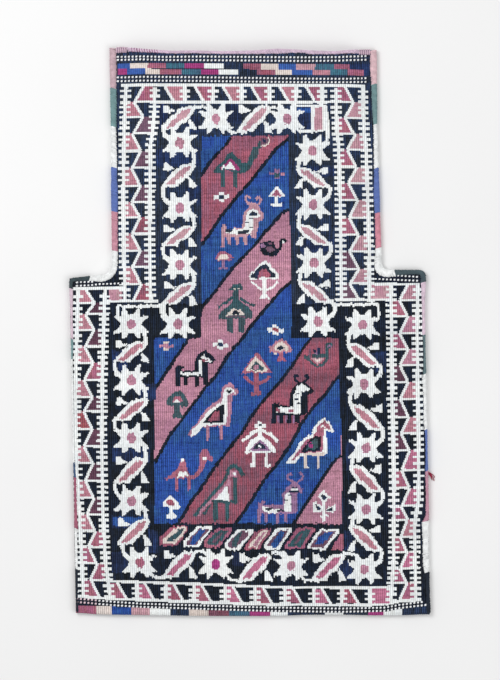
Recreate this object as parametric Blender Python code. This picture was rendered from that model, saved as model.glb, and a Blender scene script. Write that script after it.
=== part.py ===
"""Salt bag: a flat-woven wool bag with a narrow neck over a wide body, lying on its back.

One cloth is folded at the bottom into a back wall and a front wall. Overcast wool in many
colours closes the sides, and more overcasting edges the mouth. X runs across the bag, Y runs up
the neck to the mouth, and Z rises through the front wall. Lengths are in metres.
"""

import math

import bmesh
import bpy
import numpy as np
from mathutils import Vector

MM = 0.001

# Outline of the cloth, before it settles: straight warps and square corners
NECK_WIDTH = 265.5 * MM
NECK_LENGTH = 226.5 * MM
NECK_SHIFT = -0.8 * MM
BODY_WIDTH = 354.6 * MM
BODY_LENGTH = 337.5 * MM
SHOULDER_Y = 54.5 * MM

# Cloth and weave
CLOTH_THICKNESS = 1.8 * MM
RIDGE_PITCH = 5.0 * MM
RIDGE_HEIGHT = 0.4 * MM
TWINE_HEIGHT = 0.5 * MM
TWINE_WIDTH = 6.0 * MM
UPPER_TWINE_DROP = 9.2 * MM
LOWER_TWINE_DROP = 31.0 * MM
FOLD_TWINE_RISE = 7.5 * MM

# The woven borders, from the edge inwards: dye, then the inset from each side, the mouth, the
# shoulder and the fold
BORDER_LEVELS = [
    ("night", 0.0, 0.0, 0.0, 0.0),
    ("ivory", 9 * MM, 35 * MM, 12.5 * MM, 8 * MM),
    ("pink", 12 * MM, 38 * MM, 15.5 * MM, 11 * MM),
    ("ivory", 31 * MM, 52 * MM, 25.5 * MM, 28 * MM),
    ("night", 34 * MM, 55 * MM, 28.5 * MM, 31 * MM),
]
ZIGZAG_DYE = "pink"
ZIGZAG_STEP = 16.6 * MM
MAIN_BORDER = 50.0 * MM
FIELD_DROP = 33.0 * MM
FIELD_STEP_DROP = 34.0 * MM
FIELD_RISE = 60.0 * MM

# The slanted stripes of the field, and the motifs of the main border
STRIPE_SLANT = 0.78
STRIPE_START = -170.0 * MM
FIELD_STRIPES = [
    ("night", 3 * MM), ("rose", 50 * MM), ("night", 3 * MM), ("blue", 58 * MM),
    ("night", 3 * MM), ("pink", 60 * MM), ("night", 3 * MM), ("blue", 70 * MM),
    ("night", 3 * MM), ("rose", 49 * MM), ("night", 3 * MM), ("blue", 55 * MM),
    ("night", 3 * MM), ("pink", 60 * MM),
]
NECK_STARS = 4
BODY_STARS = 5
NECK_STAR_DROP = 39.0 * MM
TOP_STAR_DROP = 16.0 * MM
JUNCTION_DROP = 48.5 * MM
BOTTOM_STAR_RISE = 17.0 * MM
TOP_STARS_FROM_LEFT = 0.38
TOP_STARS_FROM_RIGHT = 0.30
PAIR = 2
STAR_WIDTH = 35.0 * MM
STAR_HEIGHT = 30.0 * MM
STAR_NOTCH = 0.62
LEAF_WIDTH = 32.0 * MM
LEAF_HEIGHT = 22.0 * MM
LEAF_TIP = 6.0 * MM

# How far the walls stand apart
SEAM_GAP = 0.3 * MM
BODY_LOFT = 9.4 * MM
MOUTH_LOFT = 10.8 * MM
MOUTH_RUN = 70.0 * MM
FOLD_GAP = 3.0 * MM
FOLD_RUN = 40.0 * MM
LOFT_RUN = 30.0 * MM
LIFT_RUN = 12.0 * MM
FOLD_STEPS = 5

# Overcasting of the side edges and of the mouth
CLEARANCE = 0.3 * MM
BINDING_THICKNESS = 1.1 * MM
BINDING_REACH = 5.0 * MM
BINDING_ROUND = 1.5 * MM
RIM_THICKNESS = 0.8 * MM
RIM_REACH = 5.0 * MM
RIM_ROUND = 0.6 * MM
RIM_STEP = 5.0 * MM
TACK_WIDTH = 11.5 * MM
TACK_STEPS = 3
CORNER_CHAMFER = 0.3

# Where the corner yarns end: how far green runs down the body, and ivory along the shoulder
CORNER_DROP = 10.0 * MM
LEFT_CORNER_WRAP = 24.0 * MM
RIGHT_CORNER_WRAP = 17.0 * MM

# The yarns of each overcast edge, from the mouth down, and how the edge is shared between them
LEFT_NECK_YARNS = [("pink", 40), ("green", 38), ("ivory", 41), ("blue", 44), ("rose", 39), ("ivory", 51)]
RIGHT_NECK_YARNS = [("pink", 35), ("green", 41), ("ivory", 45), ("blue", 46), ("rose", 36), ("ivory", 43)]
LEFT_BODY_YARNS = [
    ("pink", 50), ("green", 20), ("ivory", 103), ("blue", 15), ("rose", 51), ("ivory", 41), ("night", 43),
]
RIGHT_BODY_YARNS = [
    ("pink", 54), ("green", 28), ("ivory", 69), ("blue", 42), ("rose", 51), ("ivory", 50), ("night", 38),
]

# The red tuft on the right edge
TUFT_Y = -145.0 * MM
TUFT_LENGTH = 13.0 * MM
TUFT_RADIUS = 1.1 * MM
TUFT_SPREAD = 0.45
TUFT_DROOP = 0.8
TUFT_TAPER = 0.45
TUFT_STEPS = 6

# How the whole bag has drifted out of square in use, at the fold, halfway up the body, at the
# shoulder and at the mouth: its shift to the side, and the slope of the wefts
LEAN = [3.0 * MM, 1.5 * MM, -3.4 * MM, -5.9 * MM]
TILT = [0.011, 0.019, 0.018, -0.0075]

MOUTH_Y = SHOULDER_Y + NECK_LENGTH
FOLD_Y = SHOULDER_Y - BODY_LENGTH
FOLD_RADIUS = FOLD_GAP / 2 + CLOTH_THICKNESS
FOLD_CENTRE_Y = FOLD_Y + FOLD_RADIUS
NECK_LEFT = NECK_SHIFT - NECK_WIDTH / 2
NECK_RIGHT = NECK_SHIFT + NECK_WIDTH / 2
BODY_LEFT = -BODY_WIDTH / 2
BODY_RIGHT = BODY_WIDTH / 2
EDGE_LIFT = BINDING_THICKNESS + CLEARANCE
MOUTH_LIFT = RIM_THICKNESS + CLEARANCE
BOUND = BINDING_REACH + CLEARANCE
RIM_BOUND = RIM_REACH + CLEARANCE
FRONT_LENGTH = MOUTH_Y - FOLD_CENTRE_Y
FOLD_TURN = math.pi * FOLD_RADIUS
SHEET_LENGTH = 2 * FRONT_LENGTH + FOLD_TURN
TWINE_LINES = [UPPER_TWINE_DROP, LOWER_TWINE_DROP, FRONT_LENGTH - FOLD_TWINE_RISE]
BODY_MIDDLE_Y = (SHOULDER_Y + FOLD_CENTRE_Y) / 2
DRIFT_AT = [FOLD_CENTRE_Y, BODY_MIDDLE_Y, SHOULDER_Y, MOUTH_Y]
SLOPE_AT = [0.0, 0.3, 0.7, 1.0]
SLOPE_RISE = [0.0, 0.2, 0.8, 1.0]
TINY = 1e-6

# Dyed wools, as linear colour
IVORY = (0.72, 0.72, 0.68)
ROSE = (0.45, 0.10, 0.10)
PINK = (0.62, 0.25, 0.26)
BLUE = (0.05, 0.10, 0.36)
NIGHT = (0.012, 0.014, 0.022)
GREEN = (0.03, 0.10, 0.09)
MADDER = (0.40, 0.06, 0.07)
DYES = {
    "ivory": IVORY, "rose": ROSE, "pink": PINK, "blue": BLUE, "night": NIGHT, "green": GREEN,
    "madder": MADDER,
}


def clear_scene():
    for obj in list(bpy.data.objects):
        bpy.data.objects.remove(obj, do_unlink=True)


def wool(dye):
    name = dye + "_wool"
    if name in bpy.data.materials:
        return bpy.data.materials[name]
    material = bpy.data.materials.new(name)
    material.use_nodes = True
    shader = material.node_tree.nodes["Principled BSDF"]
    shader.inputs["Base Color"].default_value = (*DYES[dye], 1.0)
    shader.inputs["Roughness"].default_value = 0.95
    shader.inputs["Metallic"].default_value = 0.0
    material.diffuse_color = (*DYES[dye], 1.0)
    return material


def slope(t):
    """An eased slope from 0 to 1, in three straight stretches."""
    return float(np.interp(t, SLOPE_AT, SLOPE_RISE))


def ramp(low, high, t):
    return low + (high - low) * min(max(t, 0.0), 1.0)


def drift(x, y):
    """Where a point of the square outline lies once the bag has leaned and bowed."""
    return x + float(np.interp(y, DRIFT_AT, LEAN)), y + x * float(np.interp(y, DRIFT_AT, TILT))


def edge_distance(x, y):
    """How far inside the overcast side edges a point lies."""
    in_neck = NECK_WIDTH / 2 - abs(x - NECK_SHIFT)
    if y > SHOULDER_Y:
        return in_neck
    below = SHOULDER_Y - y
    to_shoulder = max(in_neck, below)
    return min(BODY_WIDTH / 2 - abs(x), to_shoulder)


def lift(x, y):
    """Height of the back wall's underside, which rises to make room for the overcasting."""
    side = EDGE_LIFT * (1 - slope((edge_distance(x, y) - BOUND) / LIFT_RUN))
    mouth = MOUTH_LIFT * (1 - slope((MOUTH_Y - y - RIM_BOUND) / LIFT_RUN))
    return max(side, mouth)


def front_inside(x, y):
    """Height of the front wall's inner face."""
    loft = ramp(MOUTH_LOFT, BODY_LOFT, (MOUTH_Y - y - RIM_BOUND) / MOUTH_RUN)
    loft = ramp(FOLD_GAP, loft, (y - FOLD_CENTRE_Y) / FOLD_RUN)
    seam = EDGE_LIFT + SEAM_GAP
    return CLOTH_THICKNESS + seam + (loft - seam) * slope((edge_distance(x, y) - BOUND) / LOFT_RUN)


def fold_place(x, v, w):
    """Round the bottom fold: v goes from the front wall to the back wall, w is height on the cloth."""
    low = lift(x, FOLD_CENTRE_Y) + CLOTH_THICKNESS
    inner_radius = (front_inside(x, FOLD_CENTRE_Y) - low) / 2
    turn = math.pi * (v - FRONT_LENGTH) / FOLD_TURN
    radius = inner_radius + w
    return FOLD_CENTRE_Y - radius * math.sin(turn), low + inner_radius + radius * math.cos(turn)


def settle_cloth(point):
    """Folds, lofts and drifts a point of the flat cloth: x across, v along from the front mouth, w up."""
    x, v, w = point
    if v <= FRONT_LENGTH:
        y = MOUTH_Y - v
        z = front_inside(x, y) + w
    elif v < FRONT_LENGTH + FOLD_TURN:
        y, z = fold_place(x, v, w)
    else:
        y = FOLD_CENTRE_Y + v - FRONT_LENGTH - FOLD_TURN
        z = lift(x, y) + CLOTH_THICKNESS - w
    return Vector((*drift(x, y), z))


def finish(bm, name, materials, bag):
    mesh = bpy.data.meshes.new(name)
    bm.to_mesh(mesh)
    bm.free()
    for material in materials:
        mesh.materials.append(material)
    obj = bpy.data.objects.new(name, mesh)
    bpy.context.collection.objects.link(obj)
    obj.parent = bag
    return obj


def cut(bm, faces, point, normal):
    """Cuts these faces along a plane and returns the faces that they became."""
    edges = {edge for face in faces for edge in face.edges}
    verts = {vert for face in faces for vert in face.verts}
    result = bmesh.ops.bisect_plane(
        bm, geom=[*faces, *edges, *verts], dist=TINY, plane_co=point, plane_no=normal
    )
    return [item for item in result["geom"] if isinstance(item, bmesh.types.BMFace)]


def inner_columns():
    """Where the cloth bends across the bag: beside each side edge, and nowhere in the middle."""
    steps = [0.0] + [BOUND + run * part for run in (LIFT_RUN, LOFT_RUN) for part in SLOPE_AT]
    columns = []
    for left, right in ((BODY_LEFT, BODY_RIGHT), (NECK_LEFT, NECK_RIGHT)):
        columns += [left + step for step in steps] + [right - step for step in steps]
    return apart(columns)


def apart(places):
    """These places in order, each once."""
    kept = []
    for place in sorted(places):
        if not kept or place - kept[-1] > TINY:
            kept.append(place)
    return kept


def cloth_rows():
    """Every line across the flat cloth at which its shape changes, from the front mouth to the back one."""
    shoulder = MOUTH_Y - SHOULDER_Y
    body = [MOUTH_Y - BODY_MIDDLE_Y]
    front = [0.0, RIM_BOUND, RIM_BOUND + MOUTH_RUN, shoulder, FRONT_LENGTH - FOLD_RUN, *body]
    front += [shoulder + BOUND + LOFT_RUN * part for part in SLOPE_AT]
    for middle in TWINE_LINES:
        front += [middle - TWINE_WIDTH / 2, middle, middle + TWINE_WIDTH / 2]
    fold = [FRONT_LENGTH + FOLD_TURN * step / FOLD_STEPS for step in range(FOLD_STEPS + 1)]
    back = [0.0, shoulder, *body]
    for part in SLOPE_AT:
        back += [RIM_BOUND + LIFT_RUN * part, shoulder + BOUND + LIFT_RUN * part]
    return apart(front + fold + [SHEET_LENGTH - row for row in back])


def flat_sheet():
    """The flat cloth, thick, cut at its rows and bends, with the corners beside the neck left out."""
    bm = bmesh.new()
    bmesh.ops.create_grid(bm, x_segments=1, y_segments=1, size=0.5)
    size = Vector((BODY_WIDTH, SHEET_LENGTH, 1.0))
    bmesh.ops.scale(bm, vec=size, verts=bm.verts)
    bmesh.ops.translate(bm, vec=(0, SHEET_LENGTH / 2, 0), verts=bm.verts)
    for row in cloth_rows()[1:-1]:
        cut(bm, bm.faces[:], (0, row, 0), (0, 1, 0))
    for column in inner_columns()[1:-1]:
        cut(bm, bm.faces[:], (column, 0, 0), (1, 0, 0))
    shoulder = MOUTH_Y - SHOULDER_Y
    beside_neck = []
    for face in bm.faces:
        middle = face.calc_center_median()
        along = min(middle.y, SHEET_LENGTH - middle.y)
        if along < shoulder and not NECK_LEFT < middle.x < NECK_RIGHT:
            beside_neck.append(face)
    bmesh.ops.delete(bm, geom=beside_neck, context="FACES")
    top = bmesh.ops.extrude_face_region(bm, geom=bm.faces[:], use_keep_orig=True)["geom"]
    top_verts = [item for item in top if isinstance(item, bmesh.types.BMVert)]
    bmesh.ops.translate(bm, vec=(0, 0, CLOTH_THICKNESS), verts=top_verts)
    bmesh.ops.recalc_face_normals(bm, faces=bm.faces)
    return bm


def front_faces(bm):
    """The outer faces of the front wall and of the fold, while the cloth is still flat."""
    found = set()
    for face in bm.faces:
        low = min(vert.co.z for vert in face.verts)
        if low > CLOTH_THICKNESS / 2 and face.calc_center_median().y < FRONT_LENGTH + FOLD_TURN:
            found.add(face)
    return found


def raise_weave(bm):
    """Warp ridges along the front wall and the fold, and the twined rows across them."""
    half = RIDGE_PITCH / 2
    count = int(BODY_WIDTH / 2 / half)
    faces = front_faces(bm)
    for number in range(-count, count + 1):
        faces = cut(bm, faces, (number * half, 0, 0), (1, 0, 0))
    bm.normal_update()
    for vert in bm.verts:
        if vert.co.z < CLOTH_THICKNESS / 2:
            continue
        x, v = vert.co.x, vert.co.y
        y = MOUTH_Y - min(v, FRONT_LENGTH)
        under_binding = edge_distance(x, y) < BOUND + TINY or v < RIM_BOUND + TINY
        if under_binding or v > FRONT_LENGTH + FOLD_TURN - TINY:
            continue
        line = round(x / half)
        if line % 2 and abs(x - line * half) < TINY:
            vert.co.z += RIDGE_HEIGHT
        if any(abs(v - row) < TINY for row in TWINE_LINES):
            vert.co.z += TWINE_HEIGHT


def within_span(face, points):
    """Whether a face lies anywhere beside the box round these points."""
    for axis in (0, 1):
        values = [vert.co[axis] for vert in face.verts]
        wanted = [point[axis] for point in points]
        if max(values) < min(wanted) or min(values) > max(wanted):
            return False
    return True


def crossed(face, start, end):
    """Whether a slanted line from start to end runs through this narrow face of the weave."""
    across = [vert.co.x for vert in face.verts]
    left, right = max(min(across), min(start.x, end.x)), min(max(across), max(start.x, end.x))
    if right - left < TINY:
        return False
    along = [vert.co.y for vert in face.verts]
    slope = (end.y - start.y) / (end.x - start.x)
    crossings = [start.y + slope * (x - start.x) for x in (left, right)]
    return max(crossings) > min(along) and min(crossings) < max(along)


def inside(point, outline):
    found = False
    for start, end in zip(outline, outline[1:] + outline[:1]):
        if (start.y > point.y) != (end.y > point.y):
            x = start.x + (point.y - start.y) / (end.y - start.y) * (end.x - start.x)
            found ^= point.x < x
    return found


def weave_shape(bm, front, outline, dye, area=None):
    """Works a shape into the front: cuts its outline into the weave and dyes the faces inside it."""
    points = [Vector((x, MOUTH_Y - y, CLOTH_THICKNESS)) for x, y in outline]
    limit = [Vector((x, MOUTH_Y - y, CLOTH_THICKNESS)) for x, y in area or outline]
    near = {face for face in front if within_span(face, points)}
    front -= near
    for start, end in zip(points, points[1:] + points[:1]):
        if abs(start.x - end.x) < RIDGE_PITCH / 4:
            continue
        faces = [face for face in near if crossed(face, start, end)]
        if area:
            faces = [face for face in faces if inside(face.calc_center_median(), limit)]
        near.difference_update(faces)
        near.update(cut(bm, faces, start, (start.y - end.y, end.x - start.x, 0)))
    for face in near:
        middle = face.calc_center_median()
        if inside(middle, points) and inside(middle, limit):
            face.material_index = list(DYES).index(dye)
    front |= near


def box(left, right, low, high):
    return [(left, low), (right, low), (right, high), (left, high)]


def star(x, y):
    """Outline of an eight-pointed star with two points to each side."""
    points = []
    for step in range(16):
        angle = math.pi * (step + 1) / 8
        size = 0.5 if step % 2 == 0 else 0.5 * STAR_NOTCH
        across, up = size * STAR_WIDTH * math.cos(angle), size * STAR_HEIGHT * math.sin(angle)
        points.append((x + across, y + up))
    return points


def leaf(x, y, hand):
    """Outline of a slanted leaf: hand is 1 for one that rises to the right and -1 for its mirror image."""
    wide, tall = LEAF_WIDTH / 2, LEAF_HEIGHT / 2
    points = [(wide, tall), (LEAF_TIP - wide, tall - LEAF_TIP)]
    points += [(-a, -b) for a, b in points]
    return [(x + hand * a, y + b) for a, b in points]


def neck_box(level):
    side, top, shoulder, bottom = level[1:]
    return NECK_LEFT + side, NECK_RIGHT - side, SHOULDER_Y - shoulder, MOUTH_Y - top


def body_box(level):
    side, top, shoulder, bottom = level[1:]
    return BODY_LEFT + side, BODY_RIGHT - side, FOLD_Y + bottom, SHOULDER_Y - shoulder


def weave_borders(bm, front):
    """The borders that follow the outline, one inside another, and the zigzag of the pale one."""
    for level in BORDER_LEVELS:
        weave_shape(bm, front, box(*neck_box(level)), level[0])
        weave_shape(bm, front, box(*body_box(level)), level[0])
    for place in (neck_box, body_box):
        pairs = zip(BORDER_LEVELS, BORDER_LEVELS[1:])
        outer, inner = next((place(a), place(b)) for a, b in pairs if a[0] == ZIGZAG_DYE)
        count = round((inner[3] - inner[2]) / ZIGZAG_STEP)
        step = (inner[3] - inner[2]) / count
        for near_edge, far_edge in ((outer[0], inner[0]), (outer[1], inner[1])):
            for number in range(count):
                ends = [inner[2] + step * number, inner[2] + step * (number + 1)]
                point, square = ends if number % 2 else ends[::-1]
                triangle = [(near_edge, square), (far_edge, square), (far_edge, point)]
                weave_shape(bm, front, triangle, "night")


def weave_field(bm, front):
    """Slanted stripes across the stepped field, parted by dark lines."""
    upper, lower = neck_box(BORDER_LEVELS[-1]), body_box(BORDER_LEVELS[-1])
    upper_left, upper_right = upper[0] + MAIN_BORDER, upper[1] - MAIN_BORDER
    lower_left, lower_right = lower[0] + MAIN_BORDER, lower[1] - MAIN_BORDER
    high, step, low = upper[3] - FIELD_DROP, lower[3] - FIELD_STEP_DROP, lower[2] + FIELD_RISE
    field = [(lower_left, low), (lower_right, low), (lower_right, step), (upper_right, step)]
    field += [(upper_right, high), (upper_left, high), (upper_left, step), (lower_left, step)]
    weave_shape(bm, front, field, "blue")
    edge = STRIPE_START
    for dye, width in FIELD_STRIPES:
        stripe = [(edge + high * STRIPE_SLANT, high), (edge + low * STRIPE_SLANT, low)]
        stripe += [(x + width, y) for x, y in reversed(stripe)]
        weave_shape(bm, front, stripe, dye, field)
        edge += width


def weave_run(bm, front, start, end, count, hand):
    """Stars at even steps from start to end, with a leaf between each two."""
    start, step = Vector(start), (Vector(end) - Vector(start)) / (count - 1)
    for number in range(count):
        weave_shape(bm, front, star(*(start + step * number)), "ivory")
        if number < count - 1:
            weave_shape(bm, front, leaf(*(start + step * (number + 0.5)), hand), "pink")


def weave_motifs(bm, front):
    """Pale stars and pink leaves by turns along the dark main border."""
    neck_left, neck_right, shoulder, top = neck_box(BORDER_LEVELS[-1])
    body_left, body_right, bottom, shoulder = body_box(BORDER_LEVELS[-1])
    middle = MAIN_BORDER / 2
    first, junction = top - NECK_STAR_DROP, SHOULDER_Y - JUNCTION_DROP
    last = bottom + BOTTOM_STAR_RISE
    weave_run(bm, front, (neck_left + middle, first), (neck_left + middle, junction), NECK_STARS, 1)
    weave_run(bm, front, (neck_right - middle, first), (neck_right - middle, junction), NECK_STARS, -1)
    weave_run(bm, front, (body_left + middle, junction), (body_left + middle, last), BODY_STARS, 1)
    weave_run(bm, front, (body_right - middle, junction), (body_right - middle, last), BODY_STARS, -1)
    row = top - TOP_STAR_DROP
    width = neck_right - neck_left
    start, end = neck_left + TOP_STARS_FROM_LEFT * width, neck_right - TOP_STARS_FROM_RIGHT * width
    weave_run(bm, front, (start, row), (end, row), PAIR, 1)
    third = (body_right - body_left - MAIN_BORDER) / 3
    start = body_left + middle + third
    weave_run(bm, front, (start, last), (start + third, last), PAIR, 1)


def weave_pattern(bm):
    """The woven pattern of the front wall, in fields of colour and simple shapes."""
    front = front_faces(bm)
    weave_borders(bm, front)
    weave_field(bm, front)
    weave_motifs(bm, front)


def make_cloth(bag):
    bm = flat_sheet()
    raise_weave(bm)
    weave_pattern(bm)
    bmesh.ops.triangulate(bm, faces=bm.faces)
    for vert in bm.verts:
        vert.co = settle_cloth(vert.co)
    bmesh.ops.reverse_faces(bm, faces=bm.faces)
    return finish(bm, "bag_cloth", [wool(dye) for dye in DYES], bag)


def clasp(stack, reach, thickness, rounding):
    """Section of overcasting round a stack of cloth: a is inward from the edge, h is up from its foot."""
    out = -(CLEARANCE + thickness)
    low, high = out, stack - out
    corner = CORNER_CHAMFER * rounding
    outer = [(reach, low), (out + rounding, low)]
    outer += [(out + corner, low + corner), (out, low + rounding)]
    outer += [(a, low + high - h) for a, h in reversed(outer)]
    inner = [(reach, high - thickness), (-CLEARANCE, high - thickness)]
    inner += [(a, low + high - h) for a, h in reversed(inner)]
    return outer + inner


def strip(name, section, stations, place, dye, bag):
    """A section drawn along its stations, then laid where place(station, a, h) says."""
    bm = bmesh.new()
    face = bm.faces.new([bm.verts.new((stations[0], a, h)) for a, h in section])
    for start, end in zip(stations, stations[1:]):
        moved = bmesh.ops.extrude_face_region(bm, geom=[face])["geom"]
        if start > stations[0]:
            bmesh.ops.delete(bm, geom=[face], context="FACES_ONLY")
        face = next(item for item in moved if isinstance(item, bmesh.types.BMFace))
        bmesh.ops.translate(bm, vec=(end - start, 0, 0), verts=face.verts)
    bmesh.ops.triangulate(bm, faces=bm.faces)
    bmesh.ops.recalc_face_normals(bm, faces=bm.faces)
    for vert in bm.verts:
        x, y, z = place(*vert.co)
        vert.co = (*drift(x, y), z)
    if bm.calc_volume(signed=True) < 0:
        bmesh.ops.reverse_faces(bm, faces=bm.faces)
    return finish(bm, name, [wool(dye)], bag)


def side_corners(side):
    neck, body = (NECK_LEFT, BODY_LEFT) if side == "left" else (NECK_RIGHT, BODY_RIGHT)
    bottom = FOLD_CENTRE_Y - CLOTH_THICKNESS / 2
    return [(neck, MOUTH_Y), (neck, SHOULDER_Y), (body, SHOULDER_Y), (body, bottom)]


def side_places(side):
    """Lengths along the side edge at which its corners lie, and the place function of its overcasting."""
    corners = [Vector(corner) for corner in side_corners(side)]
    turn = 1 if side == "left" else -1
    marks, directions = [0.0], []
    for start, end in zip(corners, corners[1:]):
        directions.append((end - start).normalized())
        marks.append(marks[-1] + (end - start).length)

    def place(along, inward, height):
        leg = max(index for index in range(3) if along >= marks[index] - TINY)
        into = Vector((-directions[leg].y, directions[leg].x)) * turn
        if leg and abs(along - marks[leg]) < TINY:
            into += Vector((-directions[leg - 1].y, directions[leg - 1].x)) * turn
        point = corners[leg] + directions[leg] * (along - marks[leg]) + into * inward
        return point.x, point.y, EDGE_LIFT + height

    return marks, place


def make_bindings(side, neck_yarns, body_yarns, corner_wrap, bag):
    """The overcasting of one side: neck yarns, a dark green shoulder, and body yarns down to the fold."""
    marks, place = side_places(side)
    section = clasp(2 * CLOTH_THICKNESS + SEAM_GAP, BINDING_REACH, BINDING_THICKNESS, BINDING_ROUND)
    neck_end = marks[1] + corner_wrap
    shoulder_end = marks[2] + CORNER_DROP
    runs = [
        ("neck", neck_yarns, 0.0, neck_end),
        ("shoulder", [("green", 1.0)], neck_end, shoulder_end),
        ("body", body_yarns, shoulder_end, marks[3]),
    ]
    for run, yarns, start, end in runs:
        stretch = (end - start) / sum(length for dye, length in yarns)
        for number, (dye, length) in enumerate(yarns, 1):
            stop = start + length * stretch
            corners = [mark for mark in marks if start < mark < stop]
            stations = [start + CLEARANCE / 2, *corners, stop - CLEARANCE / 2]
            strip(f"binding_{side}_{run}_{number}_{dye}", section, stations, place, dye, bag)
            start = stop


def rim_stations(start, end):
    """Stations along a mouth edge, closer together where the wall curves."""
    bend = RIM_STEP
    curve = LOFT_RUN + BOUND - (start - NECK_LEFT) + bend
    count = math.ceil(curve / bend)
    left = [start + curve * step / count for step in range(count + 1)]
    return left + [start + end - station for station in reversed(left)]


def make_mouth(bag):
    """Overcasting of the mouth's front and back edges, and the wrapped tack at each end of the mouth."""
    rim = clasp(CLOTH_THICKNESS, RIM_REACH, RIM_THICKNESS, RIM_ROUND)
    tack_left = NECK_LEFT + BOUND
    rim_left = tack_left + TACK_WIDTH + CLEARANCE
    rim_right = NECK_LEFT + NECK_RIGHT - rim_left
    stations = rim_stations(rim_left, rim_right)

    def front(x, inward, height):
        return x, MOUTH_Y - inward, front_inside(x, MOUTH_Y) + height

    def back(x, inward, height):
        return x, MOUTH_Y - inward, lift(x, MOUTH_Y) + height

    strip("mouth_binding_front", rim, stations, front, "pink", bag)
    strip("mouth_binding_back", rim, stations, back, "pink", bag)
    stack = 2 * CLOTH_THICKNESS
    both = clasp(stack, RIM_REACH, RIM_THICKNESS, RIM_ROUND)

    def round_both(x, inward, height):
        if height < stack / 2:
            return x, MOUTH_Y - inward, lift(x, MOUTH_Y) + height
        return x, MOUTH_Y - inward, front_inside(x, MOUTH_Y) + CLOTH_THICKNESS + height - stack

    steps = [tack_left + TACK_WIDTH * step / TACK_STEPS for step in range(TACK_STEPS + 1)]
    strip("mouth_tack_left", both, steps, round_both, "rose", bag)
    mirrored = [NECK_LEFT + NECK_RIGHT - step for step in reversed(steps)]
    strip("mouth_tack_right", both, mirrored, round_both, "rose", bag)


def make_tuft(bag):
    """A frayed end of red yarn that has worked out of the overcasting and droops to the floor."""
    curve = bpy.data.curves.new("yarn_tuft_red", "CURVE")
    curve.dimensions = "3D"
    curve.bevel_depth = TUFT_RADIUS
    curve.bevel_resolution = 2
    curve.use_fill_caps = True
    spline = curve.splines.new("POLY")
    edge = BODY_RIGHT + CLEARANCE + BINDING_THICKNESS + CLEARANCE
    top = EDGE_LIFT + CLOTH_THICKNESS
    spline.points.add(TUFT_STEPS)
    for step, point in enumerate(spline.points):
        part = step / TUFT_STEPS
        x = edge + TUFT_LENGTH * TUFT_SPREAD * math.sin(part * math.pi / 2)
        y = TUFT_Y - TUFT_LENGTH * TUFT_DROOP * (1 - math.cos(part * math.pi / 2))
        z = ramp(top, TUFT_RADIUS, slope(part))
        point.co = (*drift(x, y), z, 1.0)
        point.radius = 1 - TUFT_TAPER * part
    curve.materials.append(wool("madder"))
    obj = bpy.data.objects.new("yarn_tuft_red", curve)
    bpy.context.collection.objects.link(obj)
    obj.parent = bag


def centre_on_floor(bag):
    """Puts the middle of the bag's box over the origin and its lowest point on the floor."""
    bpy.context.view_layer.update()
    graph = bpy.context.evaluated_depsgraph_get()
    points = []
    for child in bag.children:
        evaluated = child.evaluated_get(graph)
        mesh = evaluated.to_mesh()
        points += [evaluated.matrix_world @ vert.co for vert in mesh.vertices]
        evaluated.to_mesh_clear()
    low = Vector([min(point[axis] for point in points) for axis in range(3)])
    high = Vector([max(point[axis] for point in points) for axis in range(3)])
    bag.location = (-(low.x + high.x) / 2, -(low.y + high.y) / 2, -low.z)


def main():
    clear_scene()
    bag = bpy.data.objects.new("bag", None)
    bpy.context.collection.objects.link(bag)
    make_cloth(bag)
    make_bindings("left", LEFT_NECK_YARNS, LEFT_BODY_YARNS, LEFT_CORNER_WRAP, bag)
    make_bindings("right", RIGHT_NECK_YARNS, RIGHT_BODY_YARNS, RIGHT_CORNER_WRAP, bag)
    make_mouth(bag)
    make_tuft(bag)
    centre_on_floor(bag)


main()
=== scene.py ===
"""Salt bag, dressed: the patterned cloth, the overcast edges, the hem of the mouth and the loose ends.

The pattern follows a weaver's chart: millimetres from its top left corner, x to the right and y
down. Each warp of the cloth takes its colours from the shapes that cross it on the chart. A chart
is written as shapes, each with its dye and its places x,y. Two places are the corners of a bar and
more are an outline, and a width ahead of the places makes them a line.
"""

import math
import random

import bmesh
import bpy
import numpy as np
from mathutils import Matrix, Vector


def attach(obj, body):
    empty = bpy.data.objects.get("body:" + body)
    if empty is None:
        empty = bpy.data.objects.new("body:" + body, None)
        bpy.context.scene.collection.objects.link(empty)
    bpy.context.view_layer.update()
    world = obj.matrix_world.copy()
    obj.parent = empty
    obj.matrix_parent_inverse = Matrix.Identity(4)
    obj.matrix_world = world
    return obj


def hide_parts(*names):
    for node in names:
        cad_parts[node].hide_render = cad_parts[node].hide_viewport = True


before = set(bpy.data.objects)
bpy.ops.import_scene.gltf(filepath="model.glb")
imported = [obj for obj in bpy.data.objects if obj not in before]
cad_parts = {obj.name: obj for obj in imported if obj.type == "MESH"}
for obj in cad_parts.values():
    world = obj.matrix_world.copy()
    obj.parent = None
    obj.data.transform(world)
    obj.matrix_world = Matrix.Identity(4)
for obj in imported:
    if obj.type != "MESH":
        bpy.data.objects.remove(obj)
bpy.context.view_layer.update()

MM = 0.001

# The cloth on the loom, as in the part's source
NECK_WIDTH = 265.5 * MM
NECK_LENGTH = 226.5 * MM
NECK_SHIFT = -0.8 * MM
BODY_WIDTH = 354.6 * MM
BODY_LENGTH = 337.5 * MM
SHOULDER_Y = 54.5 * MM
CLOTH_THICKNESS = 1.8 * MM
SEAM_GAP = 0.3 * MM
BODY_LOFT = 9.4 * MM
MOUTH_LOFT = 10.8 * MM
MOUTH_RUN = 70.0 * MM
FOLD_GAP = 3.0 * MM
FOLD_RUN = 40.0 * MM
LOFT_RUN = 30.0 * MM
LIFT_RUN = 12.0 * MM
EDGE_LIFT = 1.4 * MM
MOUTH_LIFT = 1.1 * MM
BOUND = 5.3 * MM
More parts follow.
